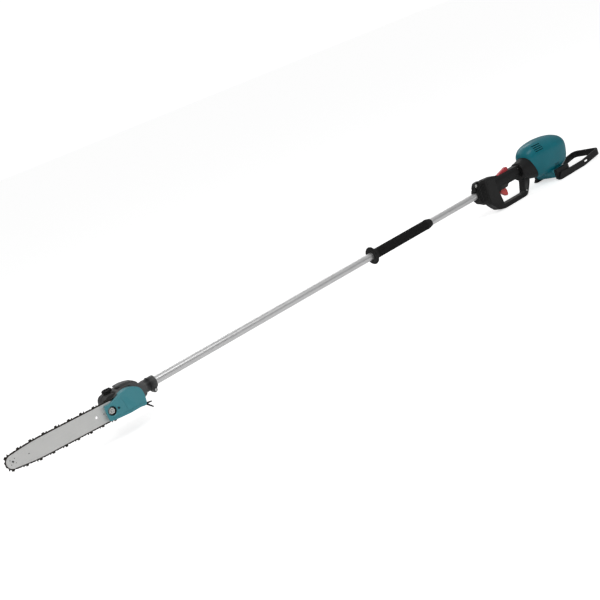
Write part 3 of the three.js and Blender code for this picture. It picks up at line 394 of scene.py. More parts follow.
def turned(axis, profile, centre=(0, 0, 0), sides=64, flutes=None):
    """A closed profile of (radius, place along the axis) turned round the axis. Flutes change the radius."""
    verts, faces = [], []
    for i in range(sides):
        angle = 2 * math.pi * i / sides
        for radius, along in profile:
            if flutes:
                radius = flutes(radius, along, i)
            spot = AXES[axis](radius, math.cos(angle), math.sin(angle), along)
            verts.append(tuple(s + c for s, c in zip(spot, centre)))
    count = len(profile)
    for i in range(sides):
        ahead = (i + 1) % sides
        for k in range(count):
            nxt = (k + 1) % count
            faces.append((i * count + k, i * count + nxt, ahead * count + nxt, ahead * count + k))
    return verts, faces


def rod(axis, radius, start, end, centre=(0, 0, 0), sides=48, chamfer=0.0):
    profile = [(0, start), (radius - chamfer, start), (radius, start + chamfer), (radius, end - chamfer),
               (radius - chamfer, end), (0, end)]
    return turned(axis, profile if chamfer else [profile[0], (radius, start), (radius, end), profile[5]],
                  centre, sides)


def rounded(points, radius, steps=6):
    """The same outline with each corner replaced by a curve that starts and ends at that distance from it."""
    result = []
    for i, corner in enumerate(points):
        corner = Vector(corner)
        before = Vector(points[i - 1]) - corner
        after = Vector(points[(i + 1) % len(points)]) - corner
        start = corner + before.normalized() * min(radius, before.length / 2.05)
        end = corner + after.normalized() * min(radius, after.length / 2.05)
        for k in range(steps + 1):
            t = k / steps
            result.append(tuple(start * (1 - t) ** 2 + corner * 2 * t * (1 - t) + end * t ** 2))
    return result


def slab(points, near, far, normal="y"):
    """An outline in X and Z with a thickness along Y, or in X and Y with a thickness along Z."""
    count = len(points)
    lift = (lambda p, d: (p[0], d, p[1])) if normal == "y" else (lambda p, d: (p[0], p[1], d))
    verts = [lift(p, near) for p in points] + [lift(p, far) for p in points]
    sides = [(i, (i + 1) % count, count + (i + 1) % count, count + i) for i in range(count)]
    return verts, [tuple(range(count)), tuple(range(2 * count - 1, count - 1, -1)), *sides]


def spline(values, t):
    """A smooth curve through a list of values, at t from 0 to the number of gaps between them."""
    i = min(int(t), len(values) - 2)
    f = t - i
    before, a = values[max(i - 1, 0)], values[i]
    b, after = values[i + 1], values[min(i + 2, len(values) - 1)]
    return 0.5 * (2 * a + (b - before) * f + (2 * before - 5 * a + 4 * b - after) * f * f
                  + (3 * a - before - 3 * b + after) * f ** 3)


def loft(sections, power=2.7, sides=96, steps=10, grow=0.0):
    """Oval sections along X: place, lean, middle height, half height and half width."""
    columns = list(zip(*sections))
    rows = (len(sections) - 1) * steps + 1
    verts, faces = [], []
    for row in range(rows):
        x, lean, middle, tall, wide = (spline(column, row / steps) for column in columns)
        for i in range(sides):
            angle = 2 * math.pi * i / sides
            c, s = math.cos(angle), math.sin(angle)
            y = (wide + grow) * math.copysign(abs(c) ** (2 / power), c)
            z = middle + (tall + grow) * math.copysign(abs(s) ** (2 / power), s)
            verts.append((x + lean * z, y, z))
    for row in range(rows - 1):
        for i in range(sides):
            j = (i + 1) % sides
            faces.append((row * sides + i, row * sides + j, (row + 1) * sides + j, (row + 1) * sides + i))
    return verts, [*faces, tuple(range(sides - 1, -1, -1)), tuple(range((rows - 1) * sides, rows * sides))]


def ring_slab(outer, inner, near, far):
    """The space between two outlines with the same number of points, given a thickness along Y."""
    n = len(outer)
    verts = [(x, y, z) for points in (outer, inner) for y in (near, far) for x, z in points]
    faces = []
    for i in range(n):
        j = (i + 1) % n
        faces += [(i, j, n + j, n + i), (2 * n + i, 3 * n + i, 3 * n + j, 2 * n + j),
                  (i, 2 * n + i, 2 * n + j, j),
                  (n + i, n + j, 3 * n + j, 3 * n + i)]
    return verts, faces


def together(*shapes):
    verts, faces = [], []
    for more_verts, more_faces in shapes:
        faces += [tuple(i + len(verts) for i in face) for face in more_faces]
        verts += more_verts
    return verts, faces


print("rod, turned, slab, loft and together are ready")

# %% [markdown]
# A piece is a shape in one of the three places, with holes cut by a Boolean modifier and its sharp edges
# rounded by a Bevel modifier. Real mouldings have no sharp edges: the small round on every one is what
# catches the light. Each piece then rides on its body and stands for its CAD node.

# %% Pieces
def solid_object(name, shape, place):
    verts, faces = shape
    obj = mesh_object(name, [place(*v) for v in verts], faces)
    work = bmesh.new()
    work.from_mesh(obj.data)
    bmesh.ops.remove_doubles(work, verts=work.verts, dist=1e-6)
    bmesh.ops.dissolve_degenerate(work, edges=work.edges, dist=1e-7)
    bmesh.ops.recalc_face_normals(work, faces=work.faces)
    work.to_mesh(obj.data)
    work.free()
    return obj


def keep_result(obj):
    """Makes the modifiers' result the piece's own mesh."""
    result = bpy.data.meshes.new_from_object(obj.evaluated_get(bpy.context.evaluated_depsgraph_get()))
    obj.modifiers.clear()
    obj.data = result


def carve(obj, holes, place, operation="DIFFERENCE"):
    for number, hole in enumerate(holes):
        tool = solid_object(f"tool_{number}", hole, place)
        step = obj.modifiers.new("cut", "BOOLEAN")
        step.operation = operation
        step.solver = "EXACT"
        step.object = tool
        keep_result(obj)
        bpy.data.objects.remove(tool)


def soften(obj, width, segments=3, angle=35):
    """Rounds edges sharper than the angle, and shades the faces smoothly up to them."""
    for face in obj.data.polygons:
        face.use_smooth = True
    if width:
        bevel = obj.modifiers.new("bevel", "BEVEL")
        bevel.width = width * MM
        bevel.segments = segments
        bevel.limit_method = "ANGLE"
        bevel.angle_limit = math.radians(angle)
        bevel.harden_normals = False
        keep_result(obj)
    work = bmesh.new()
    work.from_mesh(obj.data)
    for edge in work.edges:
        if len(edge.link_faces) == 2 and edge.calc_face_angle(0) > math.radians(angle):
            edge.smooth = False
    work.to_mesh(obj.data)
    work.free()
    obj.modifiers.new("even shading", "WEIGHTED_NORMAL").keep_sharp = True


def piece(name, shape, finish, stands_for=(), place=at_head, body="saw", holes=(), adds=(), edge=0.6,
          segments=3, angle=35):
    obj = solid_object(name, shape, place)
    carve(obj, adds, place, "UNION")
    carve(obj, holes, place)
    soften(obj, edge, segments, angle)
    obj.data.materials.clear()
    obj.data.materials.append(finish)
    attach(obj, body)
    if stands_for:
        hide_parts(*stands_for)
    return obj


print("piece() cuts, rounds, paints and mounts a shape")

# %% [markdown]
# ## The tube and its front grip
# The tube is drawn aluminium, 25 mm across with a thin wall, so it is a turned profile with a hollow
# middle. The grip is a rubber sleeve: its fine lengthwise ribs are real flutes in the profile, and the wide
# flange at its front stops the hand.

# %% Tube and grip
TUBE_RADIUS = 12.5
TUBE_END = (tube_high.x - head_origin.x) / MM
tube_profile = [(11, TUBE_STARTS), (12.2, TUBE_STARTS), (TUBE_RADIUS, TUBE_STARTS + 0.5),
                (TUBE_RADIUS, TUBE_END - 0.5), (12.2, TUBE_END), (11, TUBE_END)]
piece("tube", turned("x", tube_profile, sides=96), drawn_aluminium, ["pole_tube"], edge=0)

grip_low, grip_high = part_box("front_grip")
GRIP_FRONT = (grip_low.x - head_origin.x) / MM
GRIP_REAR = (grip_high.x - head_origin.x) / MM
GRIP_RADIUS = 17.2
FLANGE_RADIUS = 31
RIB_DEPTH = 0.9


def grip_ribs(radius, along, i):
    ribbed = GRIP_FRONT + 22 < along < GRIP_REAR - 26 and radius > GRIP_RADIUS - 1
    return radius - RIB_DEPTH * (i % 4 < 2) if ribbed else radius


grip_profile = [(12.8, GRIP_FRONT), (FLANGE_RADIUS - 4, GRIP_FRONT), (FLANGE_RADIUS - 1, GRIP_FRONT + 0.8),
                (FLANGE_RADIUS, GRIP_FRONT + 2.6), (FLANGE_RADIUS - 0.6, GRIP_FRONT + 4.6),
                (FLANGE_RADIUS - 3, GRIP_FRONT + 5.8), (FLANGE_RADIUS - 8, GRIP_FRONT + 7),
                (GRIP_RADIUS + 3.4, GRIP_FRONT + 8.6), (GRIP_RADIUS + 1.4, GRIP_FRONT + 11),
                (GRIP_RADIUS, GRIP_FRONT + 18), (GRIP_RADIUS, GRIP_FRONT + 22),
                (GRIP_RADIUS, GRIP_FRONT + 22.6),
                *[(GRIP_RADIUS, GRIP_FRONT + 22.6 + k * (GRIP_REAR - GRIP_FRONT - 49.2) / 6) for k in range(1, 6)],
                (GRIP_RADIUS, GRIP_REAR - 26.6), (GRIP_RADIUS, GRIP_REAR - 26),
                (GRIP_RADIUS + 0.8, GRIP_REAR - 22),
                (GRIP_RADIUS + 0.8, GRIP_REAR - 18), (GRIP_RADIUS - 2.2, GRIP_REAR - 3),
                (GRIP_RADIUS - 3.2, GRIP_REAR), (12.8, GRIP_REAR)]
piece("grip", turned("x", grip_profile, sides=192, flutes=grip_ribs), soft_rubber,
      ["front_grip"],
      edge=0, angle=28)
print("grip runs from", round(GRIP_FRONT), "to", round(GRIP_REAR))

# %% [markdown]
# ## Guide bar
# The bar is a flat plate with a groove round its edge, which the chain's tangs ride in. On the real one
# three thin plates are welded together, and the middle one is smaller. Its outline is straight behind, tapers over the last part and ends in a round nose.

# %% Bar outline and plates
BAR_HALF = 25.6
NOSE_RADIUS = 18.5
NOSE_X = -362.6
TAPER = 95
BAR_TAIL = 36
GROOVE = 1.7
GROOVE_DEPTH = 5
BAR_THICK = 3.8


def bar_half_height(x, offset):
    share = min((x - NOSE_X) / TAPER, 1)
    return NOSE_RADIUS + (BAR_HALF - NOSE_RADIUS) * math.sin(math.pi / 2 * share) + offset


TAPER_STEPS = 24


def nose_arc(radius, steps=28):
    turns = [math.pi / 2 + math.pi * i / steps for i in range(steps + 1)]
    return [(NOSE_X + radius * math.cos(a), radius * math.sin(a)) for a in turns]


def bar_outline(offset):
    taper_from, taper_to = NOSE_X + TAPER, NOSE_X + 3
    edge = [taper_from + (taper_to - taper_from) * i / TAPER_STEPS for i in range(TAPER_STEPS + 1)]
    top = [(-BAR_TAIL + offset, BAR_HALF / 2), (-BAR_TAIL - 22, BAR_HALF + offset)]
    top += [(x, bar_half_height(x, offset)) for x in edge]
    return top + nose_arc(NOSE_RADIUS + offset) + [(x, -z) for x, z in reversed(top)]


bar_plate = slab(bar_outline(0), -BAR_THICK / 2, BAR_THICK / 2)
groove = ring_slab(bar_outline(1), bar_outline(-GROOVE_DEPTH), -GROOVE / 2, GROOVE / 2)
nose_room = rod("y", NOSE_RADIUS + 1, -GROOVE / 2, GROOVE / 2, (NOSE_X, 0, 0), 64)
STUD_DISTANCE = 66
SLOT = (-STUD_DISTANCE - 8.8, -STUD_DISTANCE + 4.8)
slot_outline = rounded([(SLOT[0], -4.3), (SLOT[1], -4.3), (SLOT[1], 4.3), (SLOT[0], 4.3)], 4.2)
bar_holes = [groove, nose_room, slab(slot_outline, -4, 4), rod("y", 3.8, -4, 4, (-110, 0, 0)),
             rod("y", 2.6, -4, 4, (-86, 0, 0)),
             rod("y", 3.3, -4, 4, (NOSE_X, 0, 0), 32)]
bar = piece("bar", bar_plate, ground_bar, ["guide_bar"], at_bar, "bar_and_chain", bar_holes,
            edge=0.12,
            segments=2)
rivets = [rod("y", 2.6, -2.05, 2.05, (NOSE_X, 0, 0), 32, 0.3)]
rivets += [rod("y", 1.3, -2.0, 2.0, (NOSE_X + 9 * math.cos(a), 0, 9 * math.sin(a)), 20, 0.2)
           for a in (0.8, 2.4, 3.9, 5.5)]
rivets += [rod("y", 1.6, -1.98, 1.98, (NOSE_X + 46, 0, 0), 20, 0.2)]
piece("bar_rivets", together(*rivets), dark_metal, ["nose_rivet"], at_bar, "bar_and_chain",
      edge=0)
print("bar corners", len(bar.data.vertices))

# %% [markdown]
# ## Saw chain
# The chain is a row of links round the bar: a drive link in the middle plane with a tang below, then a
# pair of side links. Every second pair carries a cutter, left and right in turn, with a depth gauge in
# front of it. Each link is one small shape, placed and turned along the chain's line. The links near the
# drive sprocket have no tang, because the sprocket turns and the chain does not run.

# %% Chain line
LINK_GAP = 0.3
SPROCKET_RADIUS = 17.8
PITCH = 19.05


def chain_line(offset=LINK_GAP):
    wrap = [(math.pi / 2 - math.pi * i / 30) for i in range(31)]
    radius = SPROCKET_RADIUS + 0.3 + offset
    line = [(radius * math.cos(a), BAR_DROP + radius * math.sin(a)) for a in wrap]
    run = [NOSE_X + 3 + (TAPER - 3) * i / TAPER_STEPS for i in range(TAPER_STEPS + 1)]
    top = [(x, bar_half_height(x, offset)) for x in run] + [(-BAR_TAIL - 22, BAR_HALF + offset)]
    under = [(x, -z) for x, z in reversed(top)]
    return line + under + nose_arc(NOSE_RADIUS + offset)[::-1] + top


line = [Vector(p) for p in chain_line()]
lengths = [(line[(i + 1) % len(line)] - p).length for i, p in enumerate(line)]
link_count = 2 * round(sum(lengths) / PITCH / 2)
link_step = sum(lengths) / link_count


def on_line(distance):
    distance %= sum(lengths)
    for i, length in enumerate(lengths):
        if distance <= length:
            return line[i].lerp(line[(i + 1) % len(line)], distance / length)
        distance -= length
    return line[0]


def link_at(distance, shape, reach=4.7):
    """A link lies on the line between its two rivets, so it stays straight where the line bends."""
    behind_it, ahead_of_it = on_line(distance - reach), on_line(distance + reach)
    along = (ahead_of_it - behind_it).normalized()
    outwards = Vector((-along.y, along.x))
    middle = (behind_it + ahead_of_it) / 2
    verts, faces = shape
    placed = [middle + along * x + outwards * z for x, y, z in verts]
    return [(p.x, v[1], p.y) for p, v in zip(placed, verts)], faces


print("chain of", link_count, "pairs, one every", round(link_step, 2), "mm")

# %% Links
def strap(y0, y1):
    return slab(rounded([(-8.2, 0.1), (-2, 0.1), (0, 0.6), (2, 0.1), (8.2, 0.1), (8.2, 3.7), (2.2, 3.8),
                         (0, 3.2),
                         (-2.2, 3.8), (-8.2, 3.7)], 1.8, 4), y0, y1)


rivet = together(*[rod("y", 1.3, -2.15, 2.15, (x, 0, 1.9), 14, 0.25) for x in (-4.75, 4.75)])
drive_link = slab(rounded([(-7.4, 0.4), (-3.2, 0.2), (-1.6, -3.4), (1.2, -3.4), (3.4, 0.2), (7.4, 0.4),
                           (7.4, 3.5),
                           (0, 3.0), (-7.4, 3.5)], 1.2, 3), -0.6, 0.6)
link_without_tang = slab(rounded([(-7.4, 0.4), (7.4, 0.4), (7.4, 3.5), (0, 3.0), (-7.4, 3.5)], 0.7, 3),
                         -0.6, 0.6)
TENSION_TRAVEL = 4
FIRST_TANG = -SPROCKET_RADIUS - TENSION_TRAVEL - 3.4
gauge = rounded([(4.8, 2.6), (8.2, 2.6), (8.1, 6.4), (5.2, 7.2)], 1.0, 3)
cutter_side = rounded([(-7.6, 2.6), (1.6, 2.6), (0.2, 5.4), (-0.4, 7.5), (-7.4, 6.6)], 0.7, 3)
links = []
for i in range(link_count):
    distance = (i + 0.5) * link_step
    hand = 1 if i % 4 == 0 else -1
    parts = [strap(-1.95, -0.75), strap(0.75, 1.95), rivet]
    if i % 2 == 0:
        wall = (0.75, 1.95) if hand > 0 else (-1.95, -0.75)
        roof_y = (-0.2, 2.3) if hand > 0 else (-2.3, 0.2)
        roof = slab([(-7.4, 5.8), (0.1, 6.7), (-0.4, 7.5), (-7.4, 6.6)], *roof_y)
        parts += [slab(cutter_side, *wall), slab(gauge, *wall), roof]
    links.append(link_at(distance, together(*parts)))
    near_sprocket = on_line(i * link_step).x > FIRST_TANG
    links.append(link_at(i * link_step, link_without_tang if near_sprocket else drive_link))
piece("chain", together(*links), oiled_chain, ["saw_chain"], at_bar, "bar_and_chain",
      edge=0, angle=40)
print("chain links", len(links))

# %% [markdown]
# ## Sprocket cover
# The teal cover is a moulded shell over the sprocket. Its face has a round recess for the nut, a small
# hole for the chain adjuster and a low step along the lower edge. The inside stays hollow, because it can
# be seen from in front along the bar.

# %% Cover
COVER_FACE = -53
PLATE_FACE = -32.5
COVER_FRONT = -85
cover_outline = [(COVER_FRONT, 20.5), (-66, 20.5), (-49, 23.5), (-36, 28), (-24, 33), (-10, 36), (4, 35),
                 (22, 29),
                 (32, 22), (37, 11), (39, -4), (36, -28), (31, -35), (16, -31.5), (-19, -31.5), (-57, -28),
                 (COVER_FRONT, -24)]


def shrunk(points, amount):
    return [(x - math.copysign(amount, x + 25), z - math.copysign(amount, z)) for x, z in points]


def on_bar(x):
    return (x * math.cos(BAR_TILT) - BAR_DROP * math.sin(BAR_TILT), 0,
            -x * math.sin(BAR_TILT) - BAR_DROP * math.cos(BAR_TILT))


stud = on_bar(-STUD_DISTANCE)
adjuster = on_bar(-45.9)
cover_cuts = [
    slab(rounded(shrunk(cover_outline, 2.8), 5), COVER_FACE + 2.8, 0),
    box(COVER_FRONT - 5, COVER_FRONT + 4, COVER_FACE + 2.8, 0, -40, 40),
]
cover = piece("cover", slab(rounded(cover_outline, 7), COVER_FACE, PLATE_FACE - 0.3), teal_shell,
              ["sprocket_cover"], holes=cover_cuts, edge=0)
carve(cover, [slab(chain_line(9), -4.5, 4.5)], at_bar)
carve(cover, [rod("y", 15.6, COVER_FACE + 0.2, COVER_FACE + 14, stud)], at_head, "UNION")
recess = turned("y", [(0, COVER_FACE - 5), (14.8, COVER_FACE - 5), (14.8, COVER_FACE + 0.4),
                      (13, COVER_FACE + 2),
                      (12.6, COVER_FACE + 12.4), (0, COVER_FACE + 12.4)], stud)
step_line = rounded([(-80, -19), (-50, -21.5), (-20, -24), (20, -24), (31, -27), (30, -25.8), (20, -22.8),
                     (-20, -22.8), (-50, -20.3), (-80, -17.8)], 0.5, 2)
panel_line = rounded([(-30, 27), (-28.8, 27), (-22, -22), (-23.2, -22)], 0.4, 2)
carve(cover, [recess, rod("y", 4.3, -60, -20, stud), rod("y", 3.4, -60, PLATE_FACE, adjuster),
              slab(step_line, COVER_FACE - 1, COVER_FACE + 0.7),
              slab(panel_line, COVER_FACE - 1, COVER_FACE + 0.6)],
      at_head)
soften(cover, 1.1, 3, 40)
piece("nut_seat", turned("y", [(4.4, COVER_FACE + 12.3), (13.2, COVER_FACE + 12.3), (13.4, COVER_FACE + 3),
                               (12.7, COVER_FACE + 2.4), (12.2, COVER_FACE + 11.6),
                               (4.4, COVER_FACE + 11.6)], stud),
      black_moulding, edge=0.2)
print("cover corners", len(cover.data.vertices))

# %% [markdown]
# The nut that holds the cover is a bright hexagon with a flange, on the thread of the bar stud. The
# adjuster is a slotted screw head in its hole.

# %% Nut, stud and adjuster
hexagon = [(stud[0] + 9.6 * math.cos(math.pi * k / 3),
            stud[2] + 9.6 * math.sin(math.pi * k / 3)) for k in range(6)]
NUT_OUT = -49
flange = turned("y", [(4.4, -40.8), (11.2, -40.8), (11.2, -42), (9.4, -43.2), (4.4, -43.2)], stud, 48)
nut = piece("nut", slab(hexagon, NUT_OUT + 0.4, -42), bright_zinc, ["bar_nut"],
            body="cover_nut",
            holes=[rod("y", 4.4, -60, -20, stud)], edge=0.7)
carve(nut, [flange], at_head, "UNION")
soften(nut, 0, 3, 30)
thread = [(0, -23)]
for turn in range(22):
    thread += [(4.0, -23.6 - turn * 1.2), (3.5, -24.2 - turn * 1.2)]
thread += [(3.4, -49.6), (3.0, -50), (0, -50)]
piece("stud_thread", turned("y", thread, stud, 32), bright_zinc, ["bar_stud"], edge=0)
piece("adjuster_head", rod("y", 3, -31.5, -25, adjuster, 32, 0.3), bright_zinc,
      ["tension_screw"],
      body="tension_adjuster", holes=[box(-50, -42, -33, -30.6, adjuster[2] - 0.5, adjuster[2] + 0.5)],
      edge=0.1)
print("nut, stud and adjuster")

# %% [markdown]
# ## Gear case
# The gear case is one black casting: a plate behind the chain, a box for the bevel gears, a ridge on top
# that ends in a lip over the tank, and a neck with a clamp for the tube. It is cast, so its rounds are
# larger than those of a moulding, and its corners get a lighter colour: worn paint and a painted highlight.

# %% Gear case and neck
CASE_FRONT = -25
case_side = rounded([(CASE_FRONT, 30), (-12, 36), (24, 35), (40, 31), (52, 20), (62, 16), (62, -18),
                     (44, -24),
                     (30, -28), (CASE_FRONT, -28)], 8)
neck = turned("x", [(0, 50), (17, 50), (19.2, 68), (18.6, 76), (18.6, 82), (19.5, 84), (19.5, 101.5),
                    (18.8, 103.2),
                    (17.2, 104), (0, 104)], sides=72)
lug = slab(rounded([(82, -10), (86, -27), (91, -30), (98, -29), (103, -10)], 4), -8, 8)
ridge = slab(rounded([(-13, 41), (-10, 43.5), (8, 43.5), (25, 40.5), (40, 36), (50, 26.5), (52, 18),
                      (0, 26), (0, 37),
                      (-9, 38.5)], 2), -9, 20)
plate = slab(rounded(shrunk(cover_outline, 1.5), 5), PLATE_FACE, -20)
pad = rod("y", 11, -33.8, -21, stud)
ribs = [box(x, x + 2.4, -21, -9.4, 30, 36.4) for x in (-4, 6, 16)]
tube_bore = rod("x", TUBE_RADIUS + 0.3, TUBE_STARTS - 0.3, 110)
clamp_slit = box(80, 110, -1.2, 1.2, -40, -5)
case_holes = [tube_bore, rod("x", 11.3, 0, TUBE_STARTS + 1), rod("y", 19.5, -4, 40),
              rod("y", 9.8, -40, -3), clamp_slit,
              rod("y", 2.8, -20, 20, (94, 0, -23)), rod("y", 4.3, -60, -22, stud),
              rod("y", 3.3, -60, -24, adjuster),
              box(9.7, 30.3, -40, -24, -26.3, -13.7)]
piece("case", slab(case_side, -21, 30), black_casting, ["gear_case"],
      adds=[plate, ridge, neck, lug, pad,
      *ribs], holes=case_holes, edge=1.1, angle=38)
piece("case_lid", turned("y", [(0, 22), (19.2, 22), (19.2, 30.3), (22.6, 30.3), (23.5, 31.2), (23.5, 33),
                               (22.6, 34),
                               (16, 34), (15.2, 33.2), (6, 33.2), (5.2, 34), (0, 34)]), black_casting,
      ["gear_case_lid"], holes=[rod("y", 8.8, 0, 27)], edge=0.2)
lid_screws = [rod("y", 1.9, 33, 34.4, (20.6 * math.cos(a), 0, 20.6 * math.sin(a)), 24, 0.2)
              for a in (0.5, 1.5, 2.6, 3.7, 4.7, 5.8)]
piece("lid_screws", together(*lid_screws), dark_metal, edge=0)
bolt = together(rod("y", 2.4, -9, 9, (94, 0, -23), 24),
                turned("y", [(0, -12.3), (1.9, -12.3), (1.9, -12.4), (3.9, -12.4), (4.6, -11.8),
                             (4.6, -8.3),
                             (0, -8.3)], (94, 0, -23), 40))
piece("clamp_bolt", bolt, bright_zinc, ["neck_clamp_bolt"], edge=0,
      holes=[slab([(94 + 2.3 * math.cos(math.pi * k / 3),
                    -23 + 2.3 * math.sin(math.pi * k / 3)) for k in range(6)],
                  -14, -10)])
collar = turned("x", [(12.9, 80.5), (20.3, 80.5), (20.8, 81.2), (20.8, 83.6), (20.3, 84.3), (12.9, 84.3)],
                sides=72)
piece("neck_rib", collar, black_casting, holes=[box(70, 110, -1.2, 1.2, -40, -5)], edge=0.3)
print("gear case done")

# %% [markdown]
# ## Oil tank, window, cap and branch hook
# The tank is a rounded black moulding in front of the gear case. Its cap has a grip edge of fine flutes
# and a raised bar on top for the fingers. The hook behind the cover has two thin prongs that pull cut twigs down.

# %% Tank and cap
TANK_TOP = 33.5
TANK_FRONT = -66
TANK_RIGHT = 33
CAP = (-35, 12, 0)
tank_side = rounded([(TANK_FRONT, -20), (TANK_FRONT + 3, -25), (CASE_FRONT - 0.3, -25),
                     (CASE_FRONT - 0.3, TANK_TOP), (-52, TANK_TOP),
                     (-62, 26), (TANK_FRONT, 14)], 9, 8)
tank_room = slab(rounded([(-62, -21), (-28.3, -21), (-28.3, 30.5), (-50, 30.5), (-61, 20)], 5), -16,
                 TANK_RIGHT - 3)
piece("tank", slab(tank_side, -19.7, TANK_RIGHT), black_moulding, ["oil_tank"],
      adds=[rod("z", 9.4, TANK_TOP - 4, TANK_TOP + 3, CAP)],
      holes=[tank_room, rod("z", 8, 23, 45, CAP), box(-64.3, -51.7, -30, -17.4, 5.7, 20.3)], edge=2.2,
      segments=4, angle=40)
seam = slab(rounded([(-66.6, -20), (-63.4, -25.6), (-34, -25.6), (-34, 34.1), (-52, 34.1), (-62.3, 26.6),
                     (-66.6, 14.2)],
                    9, 8), 9.2, 10.4)
piece("tank_seam", seam, black_moulding, edge=0.2,
      holes=[slab(rounded([(-64, -20), (-62, -23), (-20, -23), (-20, 32), (-52, 32), (-60, 25),
                           (-64, 14)], 8), 0, 20)])
piece("level_window", box(-64, -52, -19.4, -17.7, 6, 20), smoky_window, ["oil_window"],
      edge=0.5)


def cap_flutes(radius, along, i):
    return radius - 0.7 * (i % 4 < 2) if radius > 13.5 and TANK_TOP + 4 < along < TANK_TOP + 9 else radius


cap_profile = [(0, TANK_TOP - 4), (7.6, TANK_TOP - 4), (7.6, TANK_TOP + 3.3), (14.2, TANK_TOP + 3.3),
               (15, TANK_TOP + 3.8), (15, TANK_TOP + 4.1), (15, TANK_TOP + 8.9), (14.6, TANK_TOP + 9.4),
               (13, TANK_TOP + 11), (11, TANK_TOP + 11), (10, TANK_TOP + 10.2), (0, TANK_TOP + 10.2)]
finger_bar = slab(rounded([(-46, 10), (-24, 10), (-24, 14), (-46, 14)], 1.8, 4), TANK_TOP + 9.5,
                  TANK_TOP + 13, "z")
piece("cap", together(turned("z", cap_profile, CAP, 144, cap_flutes), finger_bar), black_moulding,
      ["oil_cap"], body="tank_cap", edge=0.25, segments=2)
hook = [(22, -28.6), (32, -28.6), (46, -37), (65, -41), (65.5, -44), (51, -43), (64, -58), (61.5, -60.5),
        (43, -43),
        (22, -34)]
piece("hook", slab(rounded(hook, 1.5), -19.7, -15.7), black_moulding, ["branch_hook"],
      edge=0.8)
print("tank, window, cap and hook")

# %% [markdown]
# ## D-shaped handle
# The handle is two black mouldings that meet on the saw's middle plane. The opening takes four fingers
# under a thicker beam that the palm rests on. Both halves are cut from one solid, and a fine gap on the
# middle plane is the seam that shows on the real one. All places are measured from the tube's rear end.

# %% Handle halves
HANDLE_FRONT = -205
HANDLE_BOTTOM = -94
HANDLE_HALF = 14
BEAM_HALF = 16.5
CLEAR = 0.3
TRIGGER_PIN = (-112, 0, -19)
LEVER_PIN = (-111, 0, 21)
BELL = [(-12, 0, 0, 31, 29), (-8, 0, 0, 34, 32), (8, -0.05, -1, 37, 34), (46.6, -0.39, -5, 47, 37.6)]
handle_side = rounded([(HANDLE_FRONT, 43), (-148, 38), (-126, 28), (-6, 28), (10, -8), (29, -40),
                       (15, -63), (-6, -91),
                       (-22, HANDLE_BOTTOM), (-138, HANDLE_BOTTOM), (-172, -87), (HANDLE_FRONT, -54)], 9)
finger_gap = rounded([(-139, -77), (-18, -78), (-3, -36), (-14, -16), (-88, -15.5), (-95, -25), (-146, -25),
                      (-141, -57)], 6)
beam = loft([(-158, 0, 9.5, 14, 10.5), (-150, 0, 9.0, 19, 14), (-136, 0, 6.5, 21.5, BEAM_HALF),
             (-12.5, 0, 6.5, 21.5, BEAM_HALF)], 2.4, 64, 6)
trigger_room = slab([(-135, -40), (-135, -26), (-119, -14), (-104, -14), (-92, -26), (-92, -40)], -6.4, 6.4)
lever_room = slab([(-120, 13.2), (-120, 60), (-57, 60), (-57, 13.2)], -6.4, 6.4)
screw_spots = [(-5, -75), (-17.5, 16)]
handle_cuts = [slab(finger_gap, -40, 40), rod("x", TUBE_RADIUS + CLEAR, -215, 5), trigger_room, lever_room,
               box(-172, -147.5, -11, 11, -44, -14), box(-149, -130, -5, 5, -24.5, -17)]
for pin in (TRIGGER_PIN, LEVER_PIN):
    handle_cuts += [rod("y", 2.3, -11.3, 11.3, pin, 24), rod("y", 5.1, 6, 11.3, pin, 24)]
handle_obj = piece("handle", slab(handle_side, -HANDLE_HALF, HANDLE_HALF), black_moulding,
                   ["handle_left", "handle_right"], at_rear, adds=[beam], holes=handle_cuts, edge=2.2,
                   segments=4)
bell_shape = loft(BELL, 2.4, 96, 8)
carve(handle_obj, [loft([(-12.3, 0, 0, 31.3, 29.3), *[(x, lean, mid, tall + CLEAR, wide + CLEAR)
                                                      for x, lean, mid, tall, wide in BELL[1:]]], 2.4, 96,
                                                      8)], at_rear)
carve(handle_obj, [rod("y", 2.1, -30, 10, (x, 0, z), 24) for x, z in screw_spots], at_rear)
carve(handle_obj, [rod("y", 3.8, -30, -HANDLE_HALF + 2.2, (x, 0, z), 32) for x, z in screw_spots], at_rear)
carve(handle_obj, [box(-300, 100, -0.22, 0.22, -150, 100)], at_rear)
soften(handle_obj, 0, 3, 32)
print("handle corners", len(handle_obj.data.vertices))

# %% [markdown]
# The side of the front body is a separate, slightly raised panel with a leaning front edge, and the screws
# sit in round wells. The screw heads have a cross slot.

# %% Side panels and handle screws
panel = rounded([(-190, 30), (-150, 30), (-148, -24), (-150, -58), (-170, -70), (-203, -45), (-199, -10)],
                6)
for side, name in ((-1, "left"), (1, "right")):
    near, far = sorted((side * (HANDLE_HALF - 0.6), side * (HANDLE_HALF + 1.0)))
    piece(f"side_panel_{name}", slab(panel, near, far), soft_panel, place=at_rear,
          edge=0.9)
for number, (x, z) in enumerate(screw_spots, 1):
    top = -HANDLE_HALF - 0.1
    head = turned("y", [(0, top + 0.2), (1.6, top), (2.8, top + 0.1), (3.4, top + 0.8), (3.4, top + 2.1),
                        (1.8, top + 2.1),
                        (1.8, 9.7), (0, 9.7)], (x, 0, z), 40)
    piece(f"handle_screw_{number}_head", head, bright_zinc, [f"handle_screw_{number}"],
          at_rear, edge=0,
          holes=[box(x - 1.9, x + 1.9, top - 1, top + 1, z - 0.4, z + 0.4),
                 box(x - 0.4, x + 0.4, top - 1, top + 1, z - 1.9, z + 1.9)])
print("panels and", len(screw_spots), "screws")

# %% [markdown]
# A rubber boot covers the front of the handle, where the tube goes in. It is soft, so its corners are
# large, and it has a row of grooves that let it bend. The harness eye stands in a pocket in its front: a
# plastic bracket with a bright steel eyelet pressed through it.

